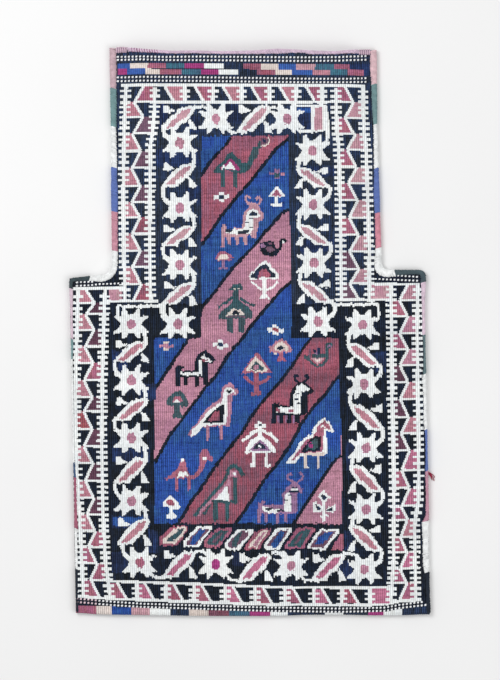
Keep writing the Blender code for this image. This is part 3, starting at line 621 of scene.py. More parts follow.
# The small figures of the field: the place of each on the chart, and its shapes from there
FIGURES = {
    "camel_with_a_magenta_back": (214, 137, """
    green 0,36 0,33 5,27 10,24 14,16 18,15.5 26,23 28,26 33,25 36,18 39,10 43,9 45,3.5 49,3.5 48,9 45,12
        44,19 40,23 38,28 35,33 31,36 24,36 11,33.5 6,36
    magenta 6,32.5 6.5,30.5 10,28.5 14,22 17,21.5 26,31 25.5,34 21,33.5
    ivory 7.5,32 8,30 13,28.3 15,26 17,26 20,29.5 21,32
    green 6.5,32 11,50
    green 19.5,32 23.5,50
    cream 46,0.5 55,0.5 56,6 52,10 47,9
    plum 47,1 54,1 55,6 51,8.5 47,8
    midnight 49,3 52,3 52,6 49,6
    """),
    "mauve_blossom": (269, 168, """
    mauve 5,0.6 10.5,4.5
    mauve 0,4.6 5,7.6
    pink 11.6,5 16,8
    mauve 5,8.8 11,11
    green 5.6,4.6 11,9
    """),
    "small_tree": (268, 187, """
    ivory 8,0 10,0 18,10 0,10
    rose 8,2.5 11,5 14.5,9 3.5,9
    ivory 7,10 10,17
    ivory 3,17 14,20
    """),
    "horned_deer": (221, 196, """
    shell 30,7 36,7 39,12 42,17 43,23 38,25 37,32 35,39 36,41 32,42 29,38 26,41 26,49 23,49 22,41 18,41
        18,49 15,49 14,41 10,41 10,49 7,49 6,42 4,41 4,51 0,51 1,30 5,29 5,33 9,33 21,32 22,20 24,15 28,11
    shell 2.3 31,10 26,7 24,3.5 26.5,0.5 29.5,2.5
    shell 2.3 35,10 39.5,6.5 40,3 37.5,0.8 35,3
    ivory 29,14 33,13 37,16 40,21 32,22 32,26 32,34 30,38 5,38 5,34 22,33 24,30 25,20 26,16
    night 28,18 32,15 36,18 36,20 28,20
    night 28,22 32,23.4
    night 24,26 28,27.4
    night 28,31 32,32.4
    night 5,34 12,33 12,35 9,35 9,38 5,37
    night 17,35 28,34 28,36 24,38 17,38
    """),
    "small_bush": (215, 251, """
    rose 4,1 10,0 15,4 19,7 14,9 0,9 2,5
    cream 6,3 11,3 14,7 13,8 2,9 4,6
    mauve 7,9 10,16
    mauve 4,16 12.5,18.6
    """),
    "dark_bird": (260, 239, """
    soot 3.2 1,10 4,14 9,16 14,15.5 19,11.5 21,7 21,2 23,0 26,3
    soot 0,4 6,3 10,1.5 14,4 16,8 19,11 13,15.5 5,15 0,9
    ivory 22,2 24,4
    mauve 0,5 4,5 6,8 1,9
    plum 6,9 12,7.5 15,11 10,13.5 6,12
    plum 8,3.4 12,5.4
    """),
    "umbrella_tree": (249, 261, """
    ivory 15,0 18,0 30,13 30,18 28,19 1,19 0,15 3,11
    night 13,4 17,3 26,13 27,17 2,17 2,14
    madder 13,8 17,8 21.5,14 20.5,16.4 9,16.4 9,13
    ivory 13,19 17,19 17,33 21,38 10,38 13,33
    ivory 2 2,21 7,24 13,29
    ivory 2 29,21 23,27 17,29
    """),
    "green_figure_in_a_skirt": (218, 284, """
    green 15,0 22,0 25,4 25,6 10,6 12,4
    green 15,6 21,6 21,16 26,20 34,27 35,35 0,35 1,29 4,27 9,23 14,18 15,12
    cream 15,4 18,5.4
    cream 20,4 22,5.4
    green 3 15,13 8,18 0,23
    green 3 22,14 29,19 37,22
    cream 13,25 22,25 27,31 8,32
    soot 14,30.4 16,26.4 20,26.4 22,30.4
    plum 8,32 27,33.6
    green 9,35 15,48
    green 20,35 27,48
    """),
    "rosette": (159, 341, """
    pink 4,3 10,7
    pink 2 0,5 15,5
    cream 4,0.6 10,3
    cream 4,7 10,9.4
    """),
    "goat": (175, 351, """
    soot 26,1 31,0 36,3 41,9 38,11.5 33,12 33.5,34 28,34 28,26 24.5,26 24,35 20,35 20,26 13,26 13,34 9,34
        9,26 5.5,26 5.5,35 1,35 0.5,16 3,14.5 9,15 9,17 6,19 20,19 20,9 22,5
    ivory 5,21 27,24
    ivory 24,9 27,24
    ivory 26,6 29,4 33,7 37,9 36,11 27,10
    wine 27,8 33,10
    """),
    "bird_at_the_left": (188, 382, """
    pink 33,13 34,7 38,2 42,0 47,5 51,10 49,13 44,13 44,26 42,44 35,44 35,58 32,58 32,45 21,45 21,58 18,58
        18,45 15,45 11,49 5,54 0,52 2,48 8,42 13,35 18,27 26,21 33,16
    ivory 36,8 41,4 45,7 48,11 42,12 39,14 40,26 38,42 16,44 12,48 8,53 3,54 4,49 10,42 14,38 18,31 25,25
        33,20 35,16
    soot 38.5,9 40,7.4 43,7.4 44,9 42.5,10.6 40,10.6
    soot 15,41 20,34 27,27 33,23 36,23 36,40 34,41
    wine 20,38.5 25,31 31,29 32,38.5
    """),
    "green_tree": (166, 390, """
    green 10,1 14,0 18,4 21,9 23,14 21,17 16,17 14,15 8,15 6,17 2,16 0,13 2,9 6,4
    rose 8,7 12,6 16,9 17,12 7,12
    ivory 11,9 14,12 8,12
    green 8,15 14,15 14,23 18,27 5,27 8,23
    """),
    "round_tree": (269, 338, """
    madder 9,12 14,12 14,18 17.5,23 7,23 10,18
    blush 7,4 12,0.6 17,4 22,9 23,12 22,14.4 1,14.4 0,10 3,7
    cream 6,8 10,4 15,5 19,9 19,12 6,13 5,10
    night 9,10 12,7 16,10 14,11 8,11
    cream 5,15 8,17
    """),
    "red_tree": (241, 352, """
    rose 15,0.5 17,0.5 31.5,21 0.5,21
    cream 15,5 27,17 25,20 6,19 5,16
    green 8,18 15,9 23,16 23,18
    pink 13,13 18,17
    madder 13,21 18,40
    madder 10,40 20,44
    madder 2.8 3,24 8,29 14,32.5
    madder 2.8 29,24 23,29 17,32.5
    """),
    "pale_tree": (163, 495, """
    ivory 5,2 7,0 10,2 13,6 18,12 16,14 10,14 10,17 14,21 13,23 4,23 3,20 7,18 7,13 0,11 0,7 3,4
    wine 5,4 9,4 12,9 11,11 4,10 3,7
    """),
    "green_bird": (304, 342, """
    green 2.8 1,15 6,19.5 10,22.5 14.5,25 19,22.5 23,16.5 23,9 22,5
    green 21.5,0.5 27,0 29,3 27,6 22,8
    mauve 23,3.6 27.6,5.6
    shell 6,15.6 19.6,15.6 18,19.5 14.5,22 10,19.5
    cream 11.5,16.8 16,18.8
    green 8,12 22,15.6
    midnight 9,7 12.2,10
    midnight 13,6 16,12
    mauve 10,10 13,12
    plum 5,7 6.8,16
    madder 0,9.6 3.4,12
    green 0,13 4.6,16.6
    """),
    "black_deer": (271, 374, """
    soot 24,12 30,7.5 34,8.5 40,13.5 43,17 41,19.5 36.5,19.5 36.5,38 33,41.5 28.5,41.5 28.5,49 24,49
        23.5,41.5 20.5,41.5 20.5,49 16,49 15.5,41.5 12.5,41.5 12.5,49 8,49 7.5,41.5 5,41.5 5,49.5 0.5,50
        0.5,29 5,28 9,28.6 8,31 18,32 19,20 21,15
    mauve 6,41.5 8,48
    mauve 14,41.5 16,48
    mauve 22,41.5 24,48
    soot 2.8 28,3 25,0.5 23,3.5 25,6.5 30,9
    soot 2.8 34,3 36,0.5 37.5,3.5 35,6.5 31,9
    ivory 26,13 31,10 35,12 39,15 38,17 31,18 30,22 30,38 26,40 5,38 5,34 22,33 22,22 24,17
    wine 5,34 9,38
    rose 17,35 23,38
    night 24,19 28,20.4
    night 23,24.4 27,25.8
    night 26,28.6 30,30
    """),
    "pale_figure": (242, 421, """
    ivory 16,0 20,9
    ivory 13,3 24,7
    night 17,3 20,5
    ivory 3 0,20 8,14 14,10 18,8 22,10 29,14 36,20
    ivory 15,15 21,15 28,21 33,27 34,32 3,32 4,27 8,20
    ivory 16,7 20,16
    mauve 18,19 24,22 29,30 7,30 10,25
    night 18,21 23,25 25,28 10,28 13,24
    ivory 16,24.6 19.6,27
    ivory 10,32 13,45
    ivory 23,32 26,45
    ivory 8,43 13,46
    ivory 23,43 29,46
    """),
    "bird_at_the_right": (286, 418, """
    ivory 26,15 28,9 33,3 38,0 43,4 48,12 47,14 40,14 41,25 41,34 38,37 33,37 33,48 34,50 31,50 31,38 21,38
        21,48 23,50 18,50 18,38 14,39 9,45 0,45 3,40 9,34 13,25 19,20 25,16
    rose 30,13 31,9 35,5 38,3 42,6 45,11 38,12 37,22 37,33 33,35 18,35 14,36 8,42 5,43 10,36 15,28 21,22
        27,18
    soot 14.5,34.5 19,27 25,20.5 29,18 34.5,17.5 34.5,33.5
    green 19,32.5 23,26 28,21.5 32,20.5 32,31
    magenta 22.5,25 27,29.5
    cream 18,34.6 38,37.6
    cream 18,37 20.6,49.6
    cream 31,37 33.6,49.6
    ivory 35,8 40,10
    """),
    "rose_camel": (165, 449, """
    rose 35,9 35,4 38,0 42,0 45,5 48,9 47,12 42,12 40,17 38,21 34,26 30,30 26,30 26,41 23,42 22,29 13,29
        13,41 10,42 10,28 5,30 1,32 0,30 5,27 9,23 11,21 14,17 15,12 17,10 19,10 21,14 22,20 25,26 29,26
        33,21 35,15
    ivory 16,9 19,12
    ivory 15,22 21,22 24,27 12,28 13,25
    ivory 38,7 42,9.6
    """),
    "long_tailed_bird": (194, 465, """
    green 4 33,7 36,2 41,0 46,5 50,11
    green 3.4 35,5 32,13 24,23 14,34 6,44 0.5,51
    green 39,11 43,38
    pink 2.6 35.5,11 34,19 26,27 18,35 9,43 5,50
    pink 34.6,15 37,37
    pink 36,5 43,12
    ivory 39,7 42,10
    ivory 32,22 34,21 35,35 19,36 24,31
    green 18,35 41,38
    green 8,48 15,40 18,38 11,51
    green 19,37 24,56
    green 31,37 35,56
    """),
    "mauve_deer": (257, 473, """
    mauve 2 35,0 30,2 31,6 36,9
    mauve 2 42,0 46,2 45,6 40,9
    mauve 36,8 39,8 42,12 46,17 45,19 40,20 40,38 36,40 30.5,40 30.5,49.5 27.5,50 27,41 22,41 22,50 18.5,50
        18.5,41 11,41 11,49 7.5,50 7.5,41 4,41 3.5,50 0,50 1,29 8,28 8,30 5,32 26,32 25,21 29,16
    ivory 28,21 33,18 34,27 34,38 30,39 27,37
    ivory 34,15 41,17
    ivory 5,33 11,34 13,37 24,35 23,38 17,41 11,39 5,38
    night 35,13 40,15
    night 32,17 42,19
    night 31,21 35,22.4
    night 27,26 31,27.4
    night 31,30 35,31.4
    night 8,35 16,37
    night 20,37 27,39
    """),
    "cross_plant": (313, 490, """
    ivory 11,0 15,5 19,7 14,10 12,13 10,13 8,10 5,7 7,3
    ivory 0,12 7,13 10,18 8,22 0,22
    ivory 16,16 23,15 22,22 14,22 13,20
    ivory 9,10 12,31
    ivory 7,25 15,27
    night 11,4 14,7 11,10 7,7
    night 2,14 6,15 9,19 4,20
    night 13,20 19,17 20,20 15,21
    """),
}
# Small crosses of four petals: the place of each and the dye of its heart
FLOWERS = ((221.5, 197, "night"), (275.5, 330, "coral"), (220.5, 345, "night"))
PETALS = "ivory -8,-2 -2,2 ivory 2,-2 8,2 ivory -3,-5 3,-2 ivory -3,2 3,5"


def weave_figures():
    for x, y, chart in FIGURES.values():
        weave_chart(chart, x, y)
    for x, y, heart in FLOWERS:
        weave_chart(f"{PETALS} {heart} -3,-2 3,2", x, y)


# Nested slanting lozenges between the field and the border of the foot
LOZENGES = (
    (160, 526, """
    madder 0,19 0,11 12,0 27,0.5 28,3 18,19
    cream 3,17 3,13 16,1.5 26,1 27,4 22,10 16,17
    green 7,15 8,12 15,7 19,3 24.5,3 22,6.5 15,14 12,15.5
    """),
    (184, 526, """
    ivory 0,21 0,15 11,3 13,0 28,0 28,3 18,15 15,21
    plum 2.8,18.7 3,15.5 13,5 15,2.3 25,2.3 25,4 15,15 13,18.7
    blue 6,18 9,10.5 13,7 16,2.8 20.5,2.8 21,5.5 15,12 11,18
    """),
    (204, 527, """
    rose 0,20 0,14 4,9 13,1.5 28,0.5 28,4 18,16 15,21
    green 3.5,17.5 4,13 14,3.5 25,3 17,14 13,18
    plum 8,15 16,6.5 19,6 11,15.5
    """),
    (225, 529, """
    ivory 0,18 0,13.5 10,3.5 12,0 28,0.5 28,4 18,15.5 14.5,20.8 3,20.8
    plum 3,16 4,12.5 13,4 15.5,2.2 24,2.7 23,7.5 14,15.5 11,18.3 4,18.3
    green 7,17 6.5,12.5 14,3 18,3 13,11 11.5,17
    """),
    (244, 528, """
    madder 0,21.5 2,16.5 11,4 18,0.5 27,1 26,6 19,13 16,21.5
    cream 4,19.5 6,15.5 13,8 17,2.5 24,2 23,5.5 17,13 13,19.5
    pink 8,18 15,8 20,3.5 22,3.5 12,18
    """),
    (264, 527, """
    ivory 0,20 0,17 9,6 13,1 28,0 28,3 19,16 15.5,22.5 2,22.5
    plum 3.3,19 4,16 12,7.5 16,3 24.5,2.3 23,6.5 16,16 13,20.2 4,20.2
    blue 7,20 7.5,16.5 16,4 20.5,4 19.5,9 13,20
    """),
    (285, 527, """
    rose 0,22 0,18 5,11 13,0.5 29,0 31,2 23,13 19,21.5
    green 2.5,19.5 3,17 15,3 26,2.5 21,11 16,20
    plum 9,16 15,7 18,6 13,16
    """),
    (307, 529, """
    ivory 0,19 1,16 9,4 13,0 32,0 32,3.5 22,15.5 18,21.5
    plum 3,17.7 4.5,14 15,2.3 29,2.3 26,7 20,14.5 17,18.3
    blue 7.5,14.7 10,10 18,3 26,3 21,9 14,14.7
    """),
    (331, 533, """
    rose 0,17 12,17 12,1 9,0.5
    """),
)
# Which way the leaves of each vine lean, its leaves and stars, and the dye of its leaves' hearts
VINES = (
    (1, """
    179.5,118,1 180,143 179.5,175.5,1 180,208 179.5,236,0.88 180,265 180,293.5,0.95 178,324
    """, "shell"),
    (-1, """
    312.5,151 312,178,0.88 313,205 312.5,235,0.88 314,263 314,292,0.95 318,322
    """, "shell"),
    (1, """
    131.5,324 132,351.5,0.92 131.6,380.5 132.5,409.5,0.95 131.6,438 132,470,1.12 131.8,501 134.5,532,1.12
    140,562.5
    """, "blush"),
    (-1, """
    362.5,325 362.5,355,1 364,384 366,417.5,1.08 366,448 365,478.5,1.15 366,509 364.5,538,1.1 364.5,569
    """, "blush"),
)
# Bluer patches of the border's ground
PATCHES = """
    157,104,168,128 186,116,200,133 226,104,242,124 296,107,312,131 157,148,200,166 186,186,200,204
    157,244,172,256 296,168,334,176 300,240,334,252 112,350,128,372 140,384,156,400 112,448,150,462
    112,516,150,528 112,552,128,572 148,530,158,552 344,530,356,550 368,352,386,372 346,440,354,470
    340,560,352,580 232,552,244,566
"""
# Stems and corners that join the leaves and stars of the vines, and the odd square at the neck's right
JOINS = """
    ivory 3 194,107.5 204,107 209,110
    ivory 3 226,128 232,133 244,132.5
    ivory 3 268,107.5 276,107 280,110
    ivory 3 297,129 301,131.5 313,131
    ivory 293,105 326,107.5
    ivory 3.9 325,106 327,120 327.5,140 320,147
    ivory 311,105 326,132
    shell 314.5,108 322.5,129.5
    ivory 3 164,303 164,306.3 117.5,306.3 117.5,316 124,321
    ivory 3.9 164,305 164,314 170,321
    ivory 3 330,302 332,304.5 378,304 378.5,317 371,322
"""


def weave_main_border():
    for patch in chart_points(PATCHES):
        bar("midnight", *patch)
    weave_chart("blue 297,108 311,113 blue 113,517 146,526")
    for flip, growth, heart in VINES:
        vine(flip, chart_points(growth), heart)
    weave_chart(JOINS)
    leaf(255, 119, tall=1.15)
    star(216, 119)
    star(287, 119)
    for left, right, top, foot in ((152, 163, 573, 578), (228, 240, 576, 580.5), (302, 316, 577, 581)):
        line("ivory", [(left - 4, top - 4), (left + 2, foot - 1), (right + 3, foot)], 3)
    for left, right, y in ((195, 207, 551.5), (271, 282, 552), (343, 356, 553)):
        line("ivory", [(left, y), (right - 3, y), (right + 2, y + 5)], 3)
    for x, y in ((180, 564), (255.5, 567), (329, 567)):
        leaf(x, y, 1, 1.15, "orchid")
    for x, y, heart in ((216, 564, "magenta"), (291, 566, "pink"), (140, 562.5, "rose")):
        star(x, y, heart)


NECK_OUTER_LEFT = chart_points(
    "126,85 124.7,110 123.8,140 123,200 123.7,250 125,301")
NECK_INNER_LEFT = chart_points(
    "155,88 154.5,110 153,130 150.6,145 150,200 149.8,250 151,302")
NECK_INNER_RIGHT = chart_points(
    "335.8,88 336.7,130 338.5,145 340,200 340.6,250 341.3,300")
NECK_OUTER_RIGHT = chart_points(
    "363,85 364,130 366,145 368,200 369.4,250 369.4,299")
BODY_OUTER_LEFT = chart_points(
    "77.8,289 76.5,340 75.3,380 75.2,440 77,480 79.5,520 81.5,560 83.2,598")
BODY_INNER_LEFT = chart_points(
    "105,289 103.5,340 102.3,380 102,440 102.5,480 103.5,520 105.5,560 108,580 110,598")
BODY_INNER_RIGHT = chart_points(
    "391,284 391.5,340 392,400 393.5,450 393.8,500 393.4,560 391,602")
BODY_OUTER_RIGHT = chart_points(
    "418,284 417.5,330 418,400 418.8,440 418.8,500 415,522 415,560 416,600")
NECK_ENDS_LEFT = [85, 102, 117, 133.5, 151, 168, 186, 202.5, 217.5, 234, 250.5, 267, 284, 301]
NECK_ENDS_RIGHT = [86, 102, 118, 134, 150, 167, 183, 200, 217.5, 235, 251.5, 269, 283.5, 300]
BODY_ENDS_LEFT = [290, 303, 314, 330, 346.5, 363, 380, 397, 411.5, 429, 446.5, 463, 481, 498, 514.5, 531,
    547, 563, 580, 597]
BODY_ENDS_RIGHT = [284, 300, 316, 333, 349, 365, 382, 399, 417, 433.5, 450.5, 470, 488, 506, 520, 537, 552,
    568, 583, 600]
# The zigzag border: the upright lines beside it, where its cells end, how the first leans, and their dyes
ZIGZAGS = (
    (NECK_OUTER_LEFT, NECK_INNER_LEFT, NECK_ENDS_LEFT, "forth",
     "rose blush plum blush plum blush plum blush wine blush plum blush wine"),
    (NECK_INNER_RIGHT, NECK_OUTER_RIGHT, NECK_ENDS_RIGHT, "back",
     "rose shell rose shell rose shell rose shell rose shell plum shell plum"),
    (BODY_OUTER_LEFT, BODY_INNER_LEFT, BODY_ENDS_LEFT, "back",
     "blush maroon blush maroon blush rose blush maroon coral maroon blush maroon blush maroon blush rose "
     "rose rose rose"),
    (BODY_INNER_RIGHT, BODY_OUTER_RIGHT, BODY_ENDS_RIGHT, "forth",
     "shell rose pink rose pink maroon blush maroon blush maroon orchid rose orchid rose blush rose orchid "
     "rose rose"),
)
# How far across the upright lines of the mouth's and the foot's border stand
MOUTH_UPRIGHTS = [155, 185, 213, 241.5, 269.5, 296, 322, 336]
FOOT_UPRIGHTS = [109.5, 137, 166, 194, 225, 255, 285, 314, 342, 370, 390]
# The upper and the lower edge of the foot's border: how deep they lie at places across it
FOOT_BORDER_TOP = ([110, 300, 370], [583, 589, 589.5])
FOOT_BORDER_FOOT = ([110, 260, 370], [598, 603, 603.5])


def weave_outer_border():
    for border in ZIGZAGS:
        cells(*border)
    weave_chart("shell 109,289 122,300 shell 371,285 389,299")
    for left, right, ends, _, _ in ZIGZAGS:
        comb(left, ends)
        comb(right, ends)
    weave_chart("ivory 121,83.7 365,84.3 365,87.3 121,86.9 ivory 150,100.8 338,103.6")
    for number, (left, right) in enumerate(zip(MOUTH_UPRIGHTS[:-2], MOUTH_UPRIGHTS[1:])):
        dye = ("blush", "rose")[number % 2]
        weave(dye, [(left + 11, 87), (right, 87), (right, 101), (left + 20, 101)])
        line("ivory", [(left + 10, 87), (left + 18.5, 101)], SLANT_WIDTH)
    for x in MOUTH_UPRIGHTS[1:-1]:
        comb([(x, 86), (x, 102.5)], (86, 102.5))
    weave_chart("""
    ivory 2.6 109,581 200,584 300,587.5 370,588 392,586.5
    ivory 2.8 80,597 110,598.7 200,602.4 260,604.5 340,605.5 385,604.5 400,601.5 420,600.5
    """)
    for number, (left, right) in enumerate(zip(FOOT_UPRIGHTS, FOOT_UPRIGHTS[1:])):
        top, foot = np.interp(left, *FOOT_BORDER_TOP), np.interp(left, *FOOT_BORDER_FOOT)
        if right == FOOT_UPRIGHTS[-1]:
            weave("orchid", [(left, top - 0.7), (right, top - 1.6), (right, foot), (left, foot)])
            continue
        dye = ("rose", "orchid", "madder")[number % 3]
        weave(dye, [(left, top), (left + 7, top), (left + 15, foot), (left, foot)])
        line("ivory", [(left + 7.5, top - 1), (left + 17, foot + 1)], 2.6)
    for x in FOOT_UPRIGHTS[1:-1]:
        top = np.interp(x, *FOOT_BORDER_TOP) - 1
        comb([(x, top), (x, top + 16)], (top, top + 16))
    comb(BODY_INNER_LEFT, BODY_ENDS_LEFT[-2:])
    comb(BODY_INNER_RIGHT, BODY_ENDS_RIGHT[-2:])


def weave_bands():
    """The brick bands of the mouth and of the fold, and the pale lines beside the shoulders."""
    bar("night", 100, 45, 390, 83.5)
    upper = "azure cream rose teal magenta ivory night madder cream azure shell teal rose midnight"
    lower = "magenta azure cream rose teal magenta ivory night madder cream azure blush teal rose midnight"
    bricks([(118, 63), (240, 63.8), (300, 64.6), (370, 64)], 5.6, upper,
           [118, 130, 148, 166, 185, 204, 224, 243, 261, 278, 296, 315, 334, 350, 370])
    bricks([(118, 68.8), (240, 69.6), (300, 70.2), (370, 69.6)], 5.6, lower,
           [118, 127, 145, 160, 182, 201, 219, 238, 257, 275, 292, 312, 330, 348, 364, 370])
    foot = ("rose cream blue shell ivory night cream wine teal magenta ivory night ivory night magenta "
            "ivory night")
    bricks([(75, 605.5), (200, 610), (300, 612.5), (380, 611), (431, 606)], 30, foot,
           [75, 96, 112, 131, 150, 170, 189, 208, 229, 250, 270, 288, 325, 344, 368, 384, 402, 431])
    weave_chart("""
    ivory 73,287.4 123,286 123,288.8 73,290
    ivory 369,282.6 420,283 420,285.4 369,285.2
    ivory 104,300 158,302.4
    ivory 335,298.4 391,300.8
    """)


def beat_unevenly():
    """Hand beating leaves the wefts of a warp a row high or low here and there."""
    for column in range(0, COLUMNS, 2):
        beats = random.choices((0, 0, 0, 0, 0, 1, -1), k=ROWS // BEAT_ROWS + 1)
        rows = np.clip(np.arange(ROWS) + np.repeat(beats, BEAT_ROWS)[:ROWS], 0, ROWS - 1)
        draft[:, column:column + 2] = draft[rows, column:column + 2]


def weave_pattern():
    weave_field()
    weave_figures()
    weave_chart(GROUND)
    weave_main_border()
    for x, y, chart in LOZENGES:
        weave_chart(chart, x, y)
    beat_unevenly()
    weave_outer_border()
    weave_bands()


# The cloth

def loom_grid(columns, rows, start, end):
    """A grid of cloth on the loom, x across and y along from the front mouth, cut to the bag's shape."""
    bm = bmesh.new()
    bmesh.ops.create_grid(bm, x_segments=columns, y_segments=rows, size=0.5)
    for vert in bm.verts:
        vert.co = (vert.co.x * BODY_WIDTH, start + (0.5 - vert.co.y) * (end - start), 0)
    spare = []
    for face in bm.faces:
        x, v = face.calc_center_median()[:2]
        in_neck = v < NECK_LENGTH or v > SHEET_LENGTH - NECK_LENGTH
        if in_neck and not NECK_LEFT < x < NECK_RIGHT:
            spare.append(face)
    bmesh.ops.delete(bm, geom=spare, context="FACES")
    return bm


def drop_joins(bm, last):
    """Merges faces of one warp and dye along the cloth up to last, apart from a join every few rows."""
    joins = []
    for edge in bm.edges:
        one, two = edge.verts
        if abs(one.co.y - two.co.y) > ROW / 2 or len(edge.link_faces) < 2:
            continue
        if one.co.y > last or round(one.co.y / ROW) % BEND_ROWS == 0:
            continue
        upper, lower = edge.link_faces
        if upper.material_index == lower.material_index:
            joins.append(edge)
    bmesh.ops.dissolve_edges(bm, edges=joins, use_verts=True)


def lay_cloth(bm, name, height, rib, materials):
    """Gives the cloth its map, its ribs and its place. The underside rests on the floor with its ribs."""
    layer = bm.loops.layers.uv.new("OFBake")
    lowest = min(vert.co.y for vert in bm.verts)
    for face in bm.faces:
        face.smooth = True
        for loop in face.loops:
            x, v = loop.vert.co[:2]
            loop[layer].uv = (x / UV_SPAN + 0.5, 1 - (v - lowest) / UV_SPAN)
    for edge in bm.edges:
        one, two = edge.verts
        column = round((one.co.x - BODY_LEFT) / COLUMN)
        if abs(one.co.x - two.co.x) < COLUMN / 2 and column % 2 == 0:
            edge.smooth = False
    for vert in bm.verts:
        x, v = vert.co[:2]
        crest = rib if round((x - BODY_LEFT) / COLUMN) % 2 else 0.0
        under = ramp(0.0, rib, (v - FRONT_LENGTH) / FOLD_TURN)
        vert.co = settle(x, v, height + crest - under)
    return finish(bm, name, materials)


def add_object(name, data):
    obj = bpy.data.objects.new(name, data)
    bpy.context.collection.objects.link(obj)
    return obj


def finish(bm, name, materials):
    mesh = bpy.data.meshes.new(name)
    bm.to_mesh(mesh)
    bm.free()
    for material in materials:
        mesh.materials.append(material)
    return add_object(name, mesh)


def seat(piece, node):
    """Lets a piece ride on the bag, in place of a node of the part."""
    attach(piece, "root")
    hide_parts(node)


def make_front():
    end = FRONT_LENGTH + FOLD_TURN
    bm = loom_grid(COLUMNS, ROWS, 0.0, end)
    for face in bm.faces:
        x, v = face.calc_center_median()[:2]
        face.material_index = int(draft[int(v / ROW), int((x - BODY_LEFT) / COLUMN)])
    drop_joins(bm, FRONT_LENGTH - ROW)
    front = lay_cloth(bm, "cloth_front", CLOTH_THICKNESS, RIB_HEIGHT, [woven(dye) for dye in DYE_NAMES])
    return front


def make_back():
    start = FRONT_LENGTH + FOLD_TURN
    bm = loom_grid(COLUMNS, BACK_ROWS, start, SHEET_LENGTH)
    back = lay_cloth(bm, "cloth_back", CLOTH_THICKNESS, RIB_HEIGHT, [woven("coral")])
    return back


def make_inside():
    bm = loom_grid(*INSIDE_GRID, 0.0, SHEET_LENGTH)
    bmesh.ops.reverse_faces(bm, faces=bm.faces)
    inside = lay_cloth(bm, "cloth_inside", 0.0, 0.0, [woven("coral")])
    return inside


# The yarns

YARN_RADIUS = 0.72 * MM
YARN_PITCH = 1.2 * MM
YARN_STEPS = 9
YARN_SLANT = 1.1 * MM
YARN_SQUARE = 0.7
YARN_JITTER = 0.08 * MM
YARN_RAISE = 0.2 * MM
YARN_STAND = 0.8 * MM
INNER_ROUND = 14.0 * MM
OUTER_ROUND = 5.0 * MM
CORNER_DROP = 10.0 * MM
YARNS = {
    ("left", "neck"): [("pink", 40), ("green", 38), ("ivory", 41), ("blue", 44), ("rose", 39),
                       ("ivory", 51)],
    ("right", "neck"): [("pink", 35), ("green", 41), ("ivory", 45), ("blue", 46), ("rose", 36),
                        ("ivory", 43)],
    ("left", "body"): [("pink", 50), ("green", 20), ("ivory", 103), ("blue", 15), ("rose", 51), ("ivory", 41),
                       ("night", 43)],
    ("right", "body"): [("pink", 54), ("green", 40), ("ivory", 57), ("blue", 42), ("rose", 51), ("ivory", 50),
                        ("night", 38)],
}
CORNER_WRAP = {"left": 24.0 * MM, "right": 17.0 * MM}
YARN_COLOURS = {
    "pink": (218, 186, 192),
    "green": (118, 148, 150),
    "ivory": (232, 234, 234),
    "blue": (98, 118, 178),
    "rose": (186, 116, 136),
    "night": (44, 50, 60),
    "left_neck_1_pink": (196, 170, 178),
    "left_neck_5_rose": (196, 142, 158),
    "left_body_1_pink": (208, 188, 200),
    "left_body_4_blue": (74, 96, 130),
    "left_body_5_rose": (162, 98, 118),
    "left_shoulder_1_green": (66, 78, 82),
    "right_neck_5_rose": (206, 140, 156),
    "right_body_1_pink": (216, 196, 210),
    "right_body_2_green": (98, 118, 122),
    "right_body_5_rose": (194, 146, 164),
    "right_shoulder_1_green": (76, 90, 96),
}
HEM_COLOUR = (218, 194, 214)
KNOT_COLOUR = (198, 170, 186)
PLUM_COLOUR = (140, 92, 120)
TUFT_COLOUR = (150, 52, 74)


def yarn(name, strands, radius, colour):
    """Strands of yarn, each a list of points, turned into one mesh."""
    curve = bpy.data.curves.new(name, "CURVE")
    curve.dimensions = "3D"
    curve.bevel_depth = radius
    curve.bevel_resolution = 1
    curve.use_fill_caps = True
    for points in strands:
        spline = curve.splines.new("POLY")
        spline.points.add(len(points) - 1)
        for point, place in zip(spline.points, points):
            point.co = (*place, 1.0)
    source = add_object(name + "_path", curve)
    bpy.context.view_layer.update()
    bm = bmesh.new()
    shape = source.evaluated_get(bpy.context.evaluated_depsgraph_get()).to_mesh()
    bm.from_mesh(shape)
    bpy.data.objects.remove(source)
    bmesh.ops.remove_doubles(bm, verts=bm.verts, dist=0.00001)
    bmesh.ops.recalc_face_normals(bm, faces=bm.faces)
    for face in bm.faces:
        face.smooth = True
    return finish(bm, name, [spun(name, colour)])


def side_edge(side):
    """The side edge on the loom: its corner marks, and a function from a length along it to a place."""
    neck, body = (NECK_LEFT, BODY_LEFT) if side == "left" else (NECK_RIGHT, BODY_RIGHT)
    foot = FOLD_CENTRE_Y - CLOTH_THICKNESS / 2
    corners = [Vector(c) for c in ((neck, MOUTH_Y), (neck, SHOULDER_Y), (body, SHOULDER_Y), (body, foot))]
    turn = 1 if side == "left" else -1
    marks, ways = [0.0], []
    for start, end in zip(corners, corners[1:]):
        ways.append((end - start).normalized())
        marks.append(marks[-1] + (end - start).length)
    insides = [Vector((-way.y, way.x)) * turn for way in ways]

    def place(along):
        leg = 0 if along < marks[1] else 1 if along < marks[2] else 2
        point = corners[leg] + ways[leg] * (along - marks[leg])
        into = insides[leg].copy()
        for corner, reach in ((1, INNER_ROUND), (2, OUTER_ROUND)):
            part = (along - marks[corner] + reach) / (2 * reach)
            if 0 < part < 1:
                start = corners[corner] - ways[corner - 1] * reach
                end = corners[corner] + ways[corner] * reach
                point = start * (1 - part) ** 2 + corners[corner] * 2 * part * (1 - part) + end * part ** 2
                into = (insides[corner - 1] * (1 - part) + insides[corner] * part).normalized()
        return point, into

    return marks, place


